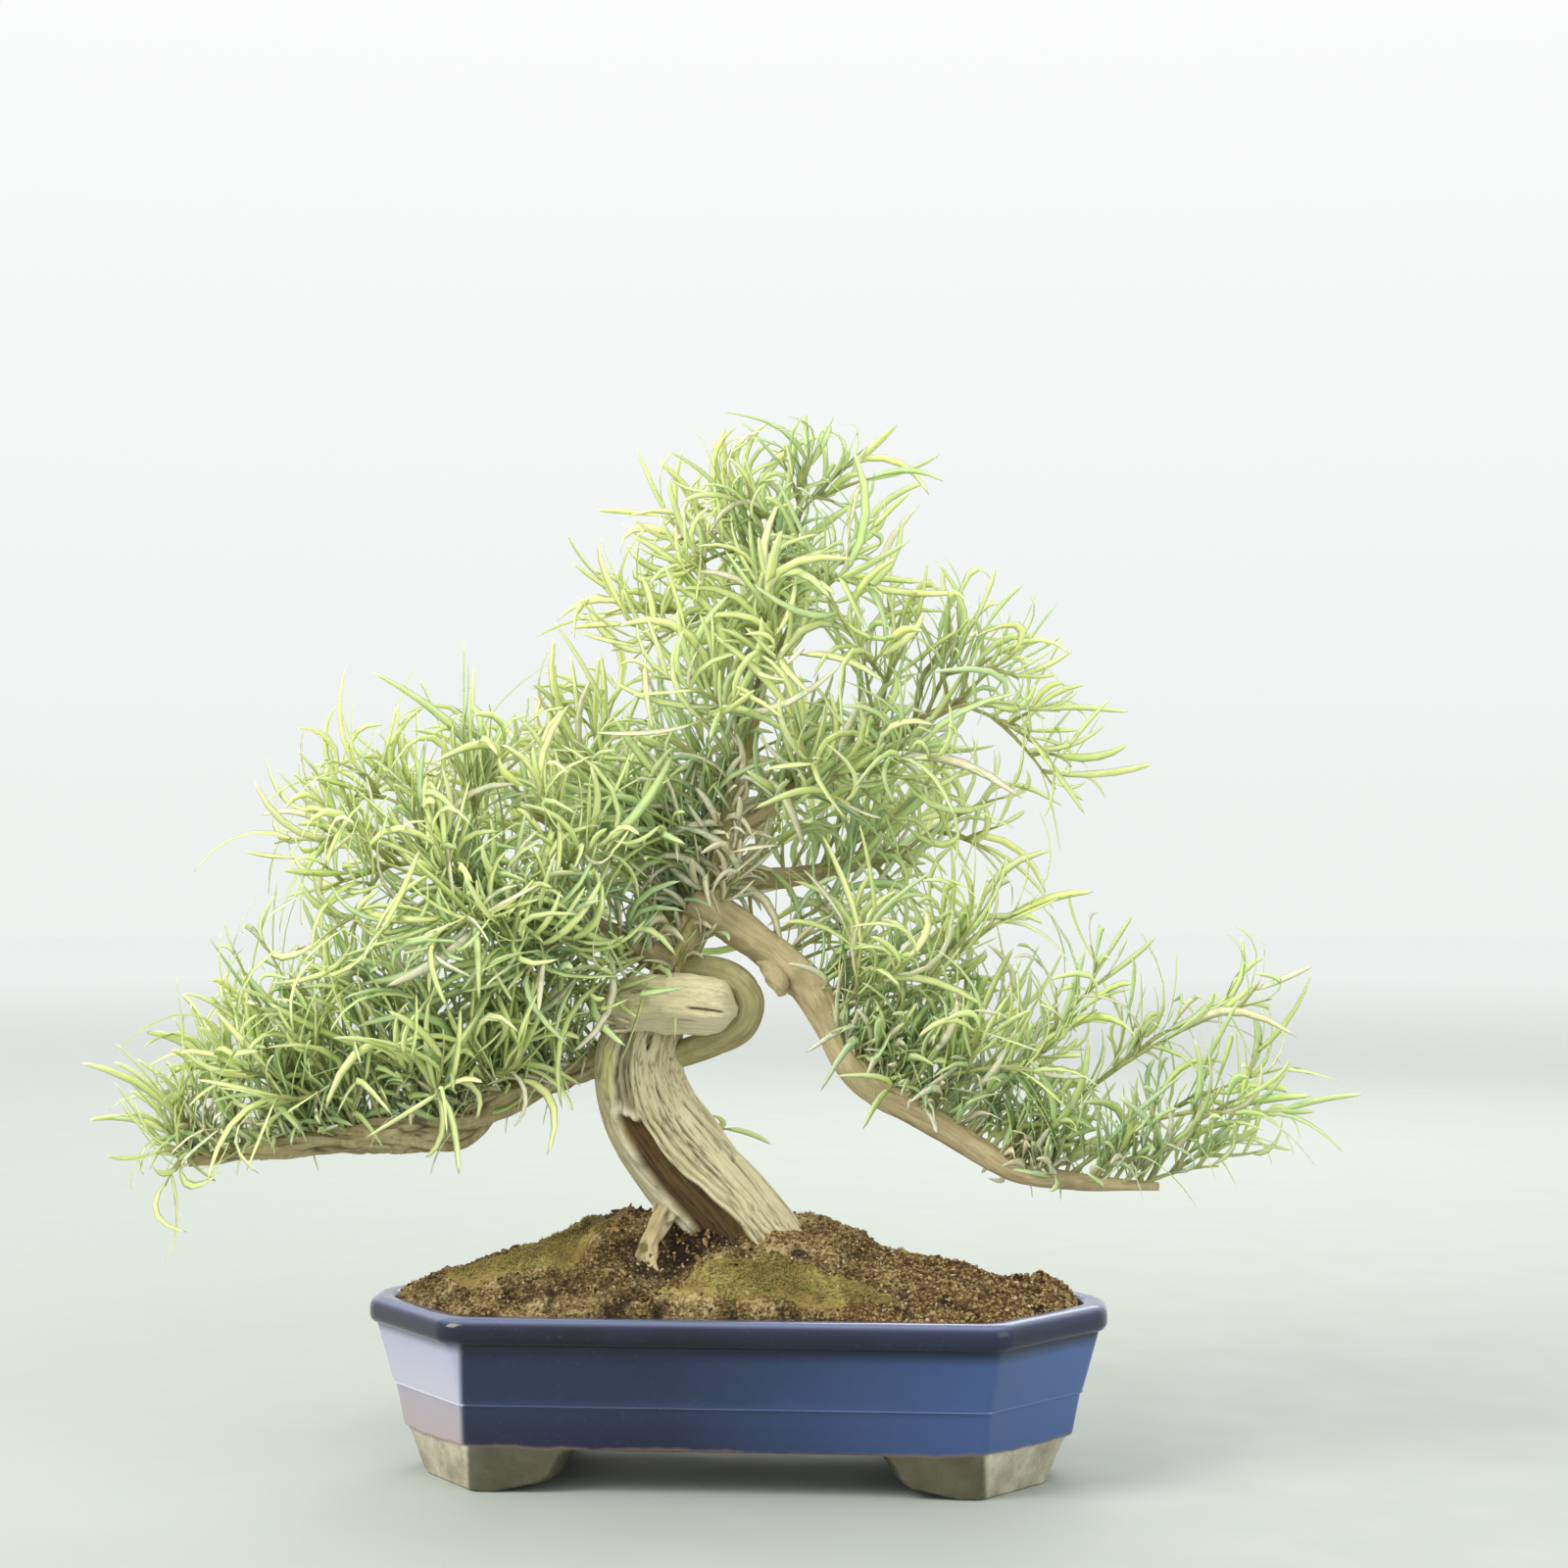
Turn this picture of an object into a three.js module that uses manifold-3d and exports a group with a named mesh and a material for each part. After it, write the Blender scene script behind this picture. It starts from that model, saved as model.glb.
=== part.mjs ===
// A willow-leaved bonsai: a leaning driftwood trunk with low, wide side branches and narrow leaves, rooted
// in a mossy mound of soil in a shallow eight-sided glazed pot on four corner feet.
// Millimetres, +Z up, +X along the pot's long side, -Y towards the front.
import * as THREE from "three";
import { mergeVertices } from "three/addons/utils/BufferGeometryUtils.js";
import Module from "manifold-3d";

const wasm = await Module();
wasm.setup();

// ---- Driving dimensions ----
const GAP = 0.3; // clearance between two pieces that touch

const POT_LENGTH = 310;
const POT_DEPTH = 136;
const POT_HEIGHT = 73;
const CORNER_ALONG = (43 / 310) * POT_LENGTH; // how much of the front each cut corner takes
const CORNER_ACROSS = (7 / 17) * POT_DEPTH; // how much of the side each cut corner takes
const EDGE_SOFTNESS = 2.5; // where two faces of the pot's body meet
const RIM_SOFTNESS = 7; // where two runs of its rim meet
const RIM_HEIGHT = 11;
const RIM_OVERHANG = 3.5;
const RIM_ROUNDING = 3.5;
const POT_TAPER = 14; // how far the body draws in below the rim
const BELT_HEIGHT = 36; // the crease round the body, above the ground
const BELT_STEP = 0.7; // how far the body steps in under it
const WALL = 7;
const FLOOR_THICKNESS = 6;
const FOOT_HEIGHT = 18;
const FOOT_TREAD = 8; // the flat of a foot along the front, from the corner
const FOOT_SLOPE = 18; // the run of the foot that rises slowly past it
const FOOT_LIFT = 4; // how far it rises
const FOOT_CURL = 15; // the run of the ogee up to the body
const END_CURL = 10; // the same at the pot's two ends
const END_SETBACK = 12; // how far round the corner a foot stops short of an end
const FOOT_THICKNESS = 15;
const DRAIN_RADIUS = 9;
const DRAIN_SPACING = 140;
const SCREEN_THICKNESS = 1.2;
const SCREEN_MARGIN = 6; // how far a drain screen overlaps the edge of its hole

const SOIL_BELOW_RIM = 2;
const SOIL_CELLS_ALONG = 26;
const SOIL_CELLS_ACROSS = 11;
const MOSS_THICKNESS = 2.2;
const MOSS_EDGE_POINTS = 24;

const LEAF_LENGTH = 25;
const LEAF_WIDTH = 4;
const LEAF_THICKNESS = 1.2;
const LEAF_SPACING = 20;
const LEAF_ANGLE = 0.8; // radians between a leaf and its twig
const TIP_LEAF_ANGLE = 0.15; // the same for the leaf that ends the twig
const LEAFY_SHARE = 0.7; // how much of a twig carries leaves
const TWIG_BASE_RADIUS = 1.5;
const TWIG_TIP_RADIUS = 0.9;
const GOLDEN_ANGLE = Math.PI * (3 - Math.sqrt(5)); // from one leaf to the next round the twig

const CAVITY_FLOOR = FOOT_HEIGHT + FLOOR_THICKNESS;
const NECK = POT_HEIGHT - RIM_HEIGHT; // where the rim starts
const RIM_INSET = RIM_OVERHANG + WALL; // from the rim's outer edge to its inner one

// ---- Materials ----
const paint = (color, roughness) => new THREE.MeshStandardMaterial({ color, roughness, metalness: 0 });
const glaze = paint(0x46587d, 0.15);
const plastic = paint(0x24261f, 0.7);
const earth = paint(0x6d5a38, 0.95);
const moss = paint(0x9a9248, 1);
const driftwood = paint(0xc9bd96, 0.8);
const bark = paint(0xa8916c, 0.8);
const leafGreen = paint(0xb4c96a, 0.5);

// ---- Solids ----
const at = (x, y, z) => new THREE.Vector3(x, y, z);

// A closed three.js geometry as a solid that can be cut and joined.
function solid(geometry) {
  const bare = geometry.clone();
  bare.deleteAttribute("normal");
  bare.deleteAttribute("uv");
  const merged = mergeVertices(bare, 1e-4);
  return new wasm.Manifold(
    new wasm.Mesh({
      numProp: 3,
      vertProperties: new Float32Array(merged.attributes.position.array),
      triVerts: new Uint32Array(merged.index.array),
    }),
  );
}

// A solid as a named mesh of the tree. Crumbs that a cut leaves behind are dropped.
function piece(name, shape, material) {
  const largest = shape.decompose().reduce((a, b) => (b.volume() > a.volume() ? b : a));
  const { numProp, vertProperties, triVerts } = largest.getMesh();
  const geometry = new THREE.BufferGeometry();
  const corners = new THREE.InterleavedBuffer(vertProperties, numProp);
  geometry.setAttribute("position", new THREE.InterleavedBufferAttribute(corners, 3, 0));
  geometry.setIndex(new THREE.BufferAttribute(triVerts, 1));
  const flat = geometry.toNonIndexed();
  flat.computeVertexNormals();
  const mesh = new THREE.Mesh(flat, material);
  mesh.name = name;
  return mesh;
}

// A closed skin over rings of points, each anticlockwise about the way that the rings follow, with a fan at
// each end.
function skin(rings) {
  const sides = rings[0].length;
  const centre = (ring) => ring.reduce((sum, p) => sum.add(p), at(0, 0, 0)).divideScalar(sides);
  const points = [...rings.flat(), centre(rings[0]), centre(rings.at(-1))];
  const [start, end] = [points.length - 2, points.length - 1];
  const faces = [];
  for (let j = 0; j < sides; j++) {
    const k = (j + 1) % sides;
    for (let i = 0; i + 1 < rings.length; i++) {
      const [a, b] = [i * sides, (i + 1) * sides];
      faces.push(a + j, a + k, b + k, a + j, b + k, b + j);
    }
    const last = (rings.length - 1) * sides;
    faces.push(start, k, j, end, last + j, last + k);
  }
  return new THREE.BufferGeometry().setFromPoints(points).setIndex(faces);
}

// ---- Pot ----
// The pot's eight-sided outline, drawn in by inset all round: its half sizes, and what a cut corner takes of
// each.
function outline(inset) {
  return {
    length: POT_LENGTH / 2 - inset,
    depth: POT_DEPTH / 2 - inset,
    along: CORNER_ALONG - inset * (1 - Math.tan(Math.atan2(CORNER_ACROSS, CORNER_ALONG) / 2)),
    across: CORNER_ACROSS - inset * (1 - Math.tan(Math.atan2(CORNER_ALONG, CORNER_ACROSS) / 2)),
  };
}

// The same outline at one height as points, with its corners softened.
function plan(inset, z) {
  const { length, depth, along, across } = outline(inset);
  const quarter = [at(length, depth - across, z), at(length - along, depth, z)];
  const half = [...quarter, ...quarter.map((p) => at(-p.x, p.y, z)).reverse()];
  const corners = [...half, ...half.map((p) => at(-p.x, -p.y, z))];
  const softness = z > NECK ? RIM_SOFTNESS : EDGE_SOFTNESS;
  return corners.flatMap((corner, i) => {
    const towards = (other) => corner.clone().add(other.clone().sub(corner).setLength(softness));
    const [before, after] = [corners.at(i - 1), corners[(i + 1) % corners.length]].map(towards);
    return new THREE.QuadraticBezierCurve3(before, corner, after).getPoints(2);
  });
}

const planSkin = (profile) => solid(skin(profile.map(([inset, z]) => plan(inset, z))));

// How far the outside draws in at a height on the body: half the taper down to the belt, and half below it.
function bodyInset(z) {
  const upper = RIM_OVERHANG + (POT_TAPER / 2) * Math.min(1, (NECK - z) / (NECK - BELT_HEIGHT));
  return z >= BELT_HEIGHT ? upper : upper + BELT_STEP + (POT_TAPER / 2) * (1 - z / BELT_HEIGHT);
}

// The opening between two feet, seen along the tunnel that it cuts under the pot. Its edge runs from the end
// of one foot's tread up a slope and an ogee to the body, and down to the other foot.
function footArch(halfWidth, slope, lift, curl) {
  const below = -1;
  const top = halfWidth - slope - curl;
  const shape = new THREE.Shape();
  shape.moveTo(-halfWidth, below);
  shape.lineTo(halfWidth, below);
  shape.lineTo(halfWidth, 0);
  shape.lineTo(top + curl, lift);
  shape.bezierCurveTo(top + curl / 2, lift, top + curl / 2, FOOT_HEIGHT, top, FOOT_HEIGHT);
  shape.lineTo(-top, FOOT_HEIGHT);
  shape.bezierCurveTo(-top - curl / 2, FOOT_HEIGHT, -top - curl / 2, lift, -top - curl, lift);
  shape.lineTo(-halfWidth, 0);
  return shape;
}

function tunnel(arch, length) {
  const form = { depth: length, bevelEnabled: false, curveSegments: 5 };
  return new THREE.ExtrudeGeometry(arch, form).translate(0, 0, -length / 2).rotateX(Math.PI / 2);
}

// An upright cylinder over a drain hole.
function post(side, radius, low, high) {
  const cylinder = new THREE.CylinderGeometry(radius, radius, high - low, 20).rotateX(Math.PI / 2);
  return solid(cylinder.translate((side * DRAIN_SPACING) / 2, 0, (low + high) / 2));
}

function makePot() {
  const turns = [0, 1, 2, 3].map((i) => (i * Math.PI) / 6);
  const belowBelt = [0, FOOT_HEIGHT / 2, FOOT_HEIGHT, (FOOT_HEIGHT + BELT_HEIGHT) / 2, BELT_HEIGHT - 0.01];
  const aboveBelt = [BELT_HEIGHT, (BELT_HEIGHT + NECK) / 2];
  const outside = [
    ...[...belowBelt, ...aboveBelt].map((z) => [bodyInset(z), z]),
    ...turns.map((a) => [RIM_OVERHANG * (1 - Math.sin(a)), NECK + RIM_ROUNDING * (1 - Math.cos(a))]),
    ...turns.map((a) => [RIM_ROUNDING * (1 - Math.cos(a)), POT_HEIGHT - RIM_ROUNDING * (1 - Math.sin(a))]),
  ];
  const inside = [
    [bodyInset(CAVITY_FLOOR) + WALL, CAVITY_FLOOR],
    [bodyInset(BELT_HEIGHT) + WALL, BELT_HEIGHT],
    [RIM_INSET, NECK],
    [RIM_INSET, POT_HEIGHT + 1],
  ];
  const underside = [
    [bodyInset(0) + FOOT_THICKNESS, -1],
    [bodyInset(FOOT_HEIGHT) + FOOT_THICKNESS, FOOT_HEIGHT],
  ];
  const base = outline(bodyInset(0));
  const frontArch = footArch(base.length - base.along - FOOT_TREAD, FOOT_SLOPE, FOOT_LIFT, FOOT_CURL);
  const endArch = footArch(base.depth - base.across + END_SETBACK, 0, 0, END_CURL);
  let pot = planSkin(outside).subtract(planSkin(inside)).subtract(planSkin(underside));
  pot = pot.subtract(solid(tunnel(frontArch, 2 * POT_DEPTH)));
  pot = pot.subtract(solid(tunnel(endArch, 2 * POT_LENGTH).rotateZ(Math.PI / 2)));
  for (const side of [-1, 1]) pot = pot.subtract(post(side, DRAIN_RADIUS, 0, POT_HEIGHT));
  return pot;
}

// A drain screen: a round of plastic netting, three meshes by three, that keeps the soil in over a hole.
function makeScreen(side) {
  const low = CAVITY_FLOOR + GAP;
  const radius = DRAIN_RADIUS + SCREEN_MARGIN;
  const pitch = radius / 2.6;
  let screen = post(side, radius, low, low + SCREEN_THICKNESS);
  for (const i of [-1, 0, 1]) {
    for (const j of [-1, 0, 1]) {
      const hole = new THREE.BoxGeometry(pitch * 0.6, pitch * 0.6, 4 * SCREEN_THICKNESS);
      screen = screen.subtract(solid(hole.translate((side * DRAIN_SPACING) / 2 + i * pitch, j * pitch, low)));
    }
  }
  return screen;
}

// The room that the soil leaves for a screen.
const screenPocket = (side) =>
  post(side, DRAIN_RADIUS + SCREEN_MARGIN + GAP, 0, CAVITY_FLOOR + SCREEN_THICKNESS + 2 * GAP);

// ---- Soil and moss ----
// The mound's crest along the pot: [share of the cavity's half length, height over the edge of the soil].
const CREST = [
  [-1, 0], [-0.9, 8], [-0.75, 14], [-0.57, 22], [-0.45, 30], [-0.34, 34], [0, 35],
  [0.18, 32], [0.27, 30], [0.37, 24], [0.51, 17], [0.71, 12], [0.88, 9], [1, 0],
];
const HOLLOW = { x: -30, y: -26, radius: 14, depth: 8 }; // the washed-out pocket under the leaning trunk

function crestHeight(share) {
  const next = Math.max(1, CREST.findIndex(([reach]) => reach >= share));
  const [[x0, z0], [x1, z1]] = [CREST[next - 1], CREST[next]];
  return z0 + ((z1 - z0) * (share - x0)) / (x1 - x0);
}

// The height of the soil: the crest fades out towards the pot's walls, more gently at the back.
function soilHeight(x, y) {
  const { length, depth, along, across } = outline(RIM_INSET);
  const pastCorner = Math.min(1, Math.max(0, Math.abs(x) - (length - along)) / along);
  const outwards = Math.min(1, Math.abs(y) / (depth - across * pastCorner));
  const fade = 1 - outwards ** (y < 0 ? 1.6 : 2.5);
  const fromHollow = Math.hypot(x - HOLLOW.x, y - HOLLOW.y) / HOLLOW.radius;
  const crest = crestHeight(Math.min(1, Math.max(-1, x / length)));
  return POT_HEIGHT - SOIL_BELOW_RIM + crest * fade - HOLLOW.depth * Math.exp(-(fromHollow ** 2));
}

// A block under the ground's surface, whose top and bottom may follow it at two heights.
function ground(top, bottom) {
  const grid = new THREE.PlaneGeometry(POT_LENGTH, POT_DEPTH, SOIL_CELLS_ALONG, SOIL_CELLS_ACROSS);
  const flat = grid.attributes.position;
  const places = Array.from({ length: flat.count }, (_, i) => [flat.getX(i), flat.getY(i)]);
  const points = [top, bottom].flatMap((height) => places.map(([x, y]) => at(x, y, height(x, y))));
  const upper = [...grid.index.array];
  const faces = [...upper];
  for (let i = 0; i < upper.length; i += 3) {
    faces.push(upper[i] + flat.count, upper[i + 2] + flat.count, upper[i + 1] + flat.count);
  }
  const across = SOIL_CELLS_ALONG + 1;
  const down = SOIL_CELLS_ACROSS + 1;
  const edge = [
    ...Array.from({ length: down - 1 }, (_, i) => i * across),
    ...Array.from({ length: across - 1 }, (_, i) => (down - 1) * across + i),
    ...Array.from({ length: down - 1 }, (_, i) => (down - i) * across - 1),
    ...Array.from({ length: across - 1 }, (_, i) => across - 1 - i),
  ];
  edge.forEach((a, i) => {
    const b = edge[(i + 1) % edge.length];
    faces.push(a, a + flat.count, b + flat.count, a, b + flat.count, b);
  });
  return solid(new THREE.BufferGeometry().setFromPoints(points).setIndex(faces));
}

function makeSoil(cutters) {
  const filling = planSkin([
    [bodyInset(CAVITY_FLOOR) + WALL + GAP, CAVITY_FLOOR + GAP],
    [bodyInset(BELT_HEIGHT) + WALL + GAP, BELT_HEIGHT],
    [RIM_INSET + GAP, NECK],
    [RIM_INSET + GAP, POT_HEIGHT + 1],
    [RIM_INSET + GAP, 2 * POT_HEIGHT],
  ]);
  const mound = filling.intersect(ground(soilHeight, () => 0));
  const rooms = [...cutters, screenPocket(-1), screenPocket(1)];
  return rooms.reduce((soil, room) => soil.subtract(room), mound);
}

// Cushions of moss. Places and reaches are shares of the cavity's half length and half depth.
const MOSS = {
  moss_left: { x: -0.61, y: -0.1, along: 0.25, across: 0.4, lobes: 5 },
  moss_front: { x: 0.15, y: -0.72, along: 0.32, across: 0.17, lobes: 4 },
  moss_back: { x: 0.2, y: 0.6, along: 0.33, across: 0.25, lobes: 6 },
};

// A cushion of moss: a thin skin with a wavy edge that lies on the soil.
function makeMoss({ x, y, along, across, lobes }, cutters) {
  const { length, depth } = outline(RIM_INSET);
  const edge = Array.from({ length: MOSS_EDGE_POINTS }, (_, i) => {
    const turn = (i / MOSS_EDGE_POINTS) * 2 * Math.PI;
    const reach = 1 + 0.1 * Math.sin(lobes * turn) + 0.07 * Math.cos((lobes + 2) * turn + 1);
    const [u, v] = [x + along * reach * Math.cos(turn), y + across * reach * Math.sin(turn)];
    return new THREE.Vector2(u * length, v * depth);
  });
  const form = { depth: 3 * POT_HEIGHT, bevelEnabled: false };
  const column = solid(new THREE.ExtrudeGeometry(new THREE.Shape(edge), form));
  const layer = ground(
    (u, v) => soilHeight(u, v) + GAP + MOSS_THICKNESS,
    (u, v) => soilHeight(u, v) + GAP,
  );
  return cutters.reduce((cushion, cutter) => cushion.subtract(cutter), layer.intersect(column));
}

// ---- Wood ----
// Each limb is a row of [x, y, height over the rim, radius] from its root to its end.
const LIMBS = {
  trunk: [[30, 2, -20, 25], [17, 1, 6, 22.5], [-2, -1, 34, 20], [-22, -3, 56, 20], [-36, -4, 75, 19],
    [-42, -3, 95, 17], [-39, 1, 113, 15.5], [-31, 5, 130, 13.5]],
  leader: [[-34, 4, 121, 12], [-20, 5, 153, 11], [-9, 3, 174, 9.5], [-4, 1, 195, 7.5], [1, 0, 217, 5.8],
    [7, -2, 243, 4.5], [15, -2, 276, 3.4], [22, 0, 308, 2.6], [27, 2, 332, 1.8]],
  right_branch: [[-18, 4, 166, 8.6], [3, 1, 153, 8.3], [17, -1, 143, 8.1], [30, -3, 131, 8],
    [39, -5, 116, 7.2], [47, -7, 100, 7], [60, -9, 87, 6.5], [81, -11, 76, 6], [101, -13, 64, 5.4],
    [118, -14, 55, 4.6], [142, -14, 51, 3.6], [176, -12, 49, 2.4]],
  left_branch: [[-40, 0, 106, 7], [-68, -5, 94, 5.6], [-84, -9, 89, 5.6], [-101, -13, 81, 6.2],
    [-116, -16, 72, 7.4], [-134, -18, 70, 7], [-158, -19, 67, 6], [-183, -17, 64, 4.6], [-214, -13, 59, 3],
    [-232, -10, 55, 2]],
  upper_left_branch: [[-28, 3, 138, 6], [-50, -8, 151, 5.4], [-80, -14, 161, 4.5], [-112, -16, 175, 3.4],
    [-145, -14, 189, 2.2]],
  back_left_branch: [[-14, 4, 163, 5.5], [-36, 24, 179, 4.8], [-64, 38, 193, 3.8], [-95, 46, 203, 2.4]],
  upper_right_branch: [[-4, 1, 195, 5], [18, 6, 209, 4.3], [44, 8, 223, 3.5], [72, 6, 239, 2.7],
    [96, 2, 251, 2]],
  back_right_branch: [[-10, 3, 173, 5], [12, 22, 175, 4.3], [40, 36, 179, 3.4], [72, 44, 187, 2.3]],
  jin_stub: [[-58, -12, 122, 6], [-44, -14, 123, 11], [-28, -16, 124, 12.5], [-12, -18, 123, 12.5],
    [2, -18, 121, 9.5]],
  live_vein: [[-34, 2, 98, 6], [-12, -4, 106, 6.4], [2, -8, 113, 6.6], [6.2, -8, 124, 6.6], [0, -6, 133, 6.2],
    [-10, -3, 137, 5.8], [-22, 2, 138, 5.4]],
  surface_root: [[-26, -7, 42, 5], [-32, -15, 31, 4.4], [-37, -21, 19, 3.8], [-42, -26, 3, 3.4]],
};
const SECTION = {
  trunk: { sides: 16, rings: 20, flatness: 0.12, ribs: 0.07 },
  leader: { sides: 8, rings: 16, flatness: 0.05, ribs: 0.05 },
  right_branch: { sides: 8, rings: 20, flatness: 0.04, ribs: 0.05 },
  left_branch: { sides: 8, rings: 20, flatness: 0.1, ribs: 0.1 },
  jin_stub: { sides: 10, rings: 8, flatness: 0.1, ribs: 0.06 },
  live_vein: { sides: 8, rings: 14, flatness: 0.08, ribs: 0.04 },
};
const PLAIN_SECTION = { sides: 6, rings: 8, flatness: 0.04, ribs: 0.05 };
const RIB_COUNT = 5;
const TWIST = 2.2; // radians that the ribs turn from a limb's root to its end

const limbCurve = (name) =>
  new THREE.CatmullRomCurve3(LIMBS[name].map(([x, y, height]) => at(x, y, POT_HEIGHT + height)));

const limbRadius = (name, share) =>
  new THREE.CatmullRomCurve3(LIMBS[name].map((row, i) => at(i, row[3], 0))).getPoint(share).y;

// Rings of points round a curve, each at radius(share, turn) from it.
function ringsAlong(curve, count, sides, radius) {
  const shares = Array.from({ length: count + 1 }, (_, i) => i / count);
  let across = at(0, 1, 0);
  return shares.map((share) => {
    const ahead = curve.getTangent(share);
    across = across.clone().addScaledVector(ahead, -across.dot(ahead)).normalize();
    const other = ahead.clone().cross(across);
    const middle = curve.getPoint(share);
    return Array.from({ length: sides }, (_, j) => {
      const turn = (j / sides) * 2 * Math.PI;
      const outwards = across.clone().multiplyScalar(Math.cos(turn)).addScaledVector(other, Math.sin(turn));
      return middle.clone().addScaledVector(outwards, radius(share, turn));
    });
  });
}

// A limb, or with a swelling the space that it needs when another piece is cut to clear it.
function makeLimb(name, swelling = 0) {
  const { sides, rings, flatness, ribs } = SECTION[name] ?? PLAIN_SECTION;
  const radius = (share, turn) => {
    const turned = turn + TWIST * share;
    const form = 1 + flatness * Math.cos(2 * turned) + ribs * Math.cos(RIB_COUNT * turned);
    return limbRadius(name, share) * form + swelling;
  };
  return solid(skin(ringsAlong(limbCurve(name), rings, sides, radius)));
}

// Which limbs a limb gives way to where they meet.
const GIVES_WAY = {
  leader: ["trunk"],
  jin_stub: ["trunk"],
  right_branch: ["trunk", "leader"],
  left_branch: ["trunk"],
  upper_left_branch: ["trunk", "leader", "jin_stub"],
  back_left_branch: ["trunk", "leader", "right_branch"],
  upper_right_branch: ["trunk", "leader"],
  back_right_branch: ["trunk", "leader", "right_branch", "back_left_branch"],
  live_vein: ["trunk", "leader", "jin_stub", "right_branch", "upper_left_branch"],
  surface_root: ["trunk"],
};

function fittedLimb(name) {
  const cutters = (GIVES_WAY[name] ?? []).map((other) => makeLimb(other, GAP));
  return cutters.reduce((left, cutter) => left.subtract(cutter), makeLimb(name));
}

// ---- Leafy sprays ----
// The sprays on each limb, as [share of the limb's length that the spray leaves it at, end of its main twig,
// end of its side twig], each end as [x, y, height over the rim].
const SPRAYS = {
  left_branch: [
    [0.97, [-243, -12, 71], [-240, -26, 50]],
    [0.86, [-226, -2, 112], [-232, 14, 88]],
    [0.76, [-208, -30, 128], [-214, -38, 98]],
    [0.66, [-176, -46, 112], [-196, -50, 84]],
    [0.58, [-168, 22, 110], [-190, 30, 96]],
    [0.46, [-140, -52, 108], [-118, -50, 92]],
    [0.34, [-104, -48, 112], [-84, -46, 100]],
  ],
  upper_left_branch: [
    [0.97, [-190, -6, 208], [-186, -22, 186]],
    [0.88, [-178, -40, 168], [-160, -50, 148]],
    [0.8, [-148, 8, 228], [-166, -4, 218]],
    [0.7, [-116, -12, 248], [-100, 10, 240]],
    [0.6, [-128, -56, 180], [-108, -60, 152]],
    [0.48, [-92, -58, 158], [-72, -60, 136]],
    [0.38, [-78, -36, 214], [-56, -50, 192]],
  ],
  back_left_branch: [
    [0.97, [-150, 44, 182], [-132, 56, 204]],
    [0.8, [-108, 66, 186], [-88, 70, 218]],
    [0.62, [-66, 42, 254], [-92, 32, 240]],
    [0.46, [-50, 74, 196], [-72, 66, 164]],
  ],
  leader: [
    [0.76, [-64, 0, 288], [-50, -16, 266]],
    [0.86, [-42, 4, 322], [-28, -18, 302]],
    [0.93, [-12, -10, 340], [-16, 14, 322]],
    [0.98, [26, -4, 352], [44, 10, 340]],
    [0.82, [62, -4, 314], [46, -22, 294]],
    [0.6, [-22, -38, 264], [-4, -46, 242]],
    [0.68, [24, 40, 290], [-18, 36, 286]],
    [0.72, [26, -42, 264], [12, -36, 294]],
  ],
  upper_right_branch: [
    [0.62, [72, 4, 298], [54, -20, 274]],
    [0.82, [104, 2, 290], [124, -8, 264]],
    [0.96, [138, -4, 224], [140, 12, 208]],
    [0.46, [100, -28, 208], [76, -36, 226]],
    [0.28, [54, -42, 206], [34, -44, 228]],
  ],
  back_right_branch: [
    [0.58, [58, 54, 228], [34, 60, 242]],
    [0.97, [104, 56, 208], [114, 46, 186]],
    [0.78, [80, 74, 182], [48, 78, 198]],
  ],
  right_branch: [
    [0.36, [76, -30, 142], [58, -32, 162]],
    [0.47, [130, -8, 172], [104, -4, 162]],
    [0.62, [112, -34, 118], [134, -40, 100]],
    [0.7, [156, -24, 128], [162, 0, 142]],
    [0.56, [116, 30, 118], [146, 34, 104]],
    [0.8, [206, 4, 128], [230, 2, 130]],
    [0.89, [236, -10, 102], [230, -26, 82]],
    [0.98, [208, -16, 60], [216, 0, 70]],
  ],
};
const FORK_AT = 0.4; // where a side twig leaves the main one
const TWIG_ARCH = 0.12; // how far a twig arches up, as a share of its length

function twigCurve(start, end) {
  const rise = at(0, 0, TWIG_ARCH * start.distanceTo(end));
  return new THREE.QuadraticBezierCurve3(start, start.clone().lerp(end, 0.5).add(rise), end);
}

// The twigs of one spray: the main one from inside its limb, and the side one from inside the main one.
function twigsOf(limb, [share, ...ends]) {
  const [mainEnd, sideEnd] = ends.map(([x, y, height]) => at(x, y, POT_HEIGHT + height));
  const main = twigCurve(limbCurve(limb).getPoint(share), mainEnd);
  return [main, twigCurve(main.getPoint(FORK_AT), sideEnd)];
}

const twigRadius = (share) => TWIG_BASE_RADIUS + (TWIG_TIP_RADIUS - TWIG_BASE_RADIUS) * share;
const twigSolid = (curve) => solid(skin(ringsAlong(curve, 3, 3, twigRadius)));

// A narrow leaf from inside its twig: pointed at both ends, widest in the middle, flat below and keeled
// above.
function leafSolid(from, to) {
  const along = to.clone().sub(from).normalize();
  const side = at(-along.y, along.x, 0.02).normalize();
  const face = along.clone().cross(side).normalize();
  const middle = from.clone().lerp(to, 0.5);
  const ring = [[side, LEAF_WIDTH / 2], [face, LEAF_THICKNESS], [side, -LEAF_WIDTH / 2]];
  const points = [from, ...ring.map(([way, reach]) => middle.clone().addScaledVector(way, reach)), to];
  const faces = [[1, 2], [2, 3], [3, 1]].flatMap(([j, k]) => [0, k, j, 4, j, k]);
  return solid(new THREE.BufferGeometry().setFromPoints(points).setIndex(faces));
}

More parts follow.
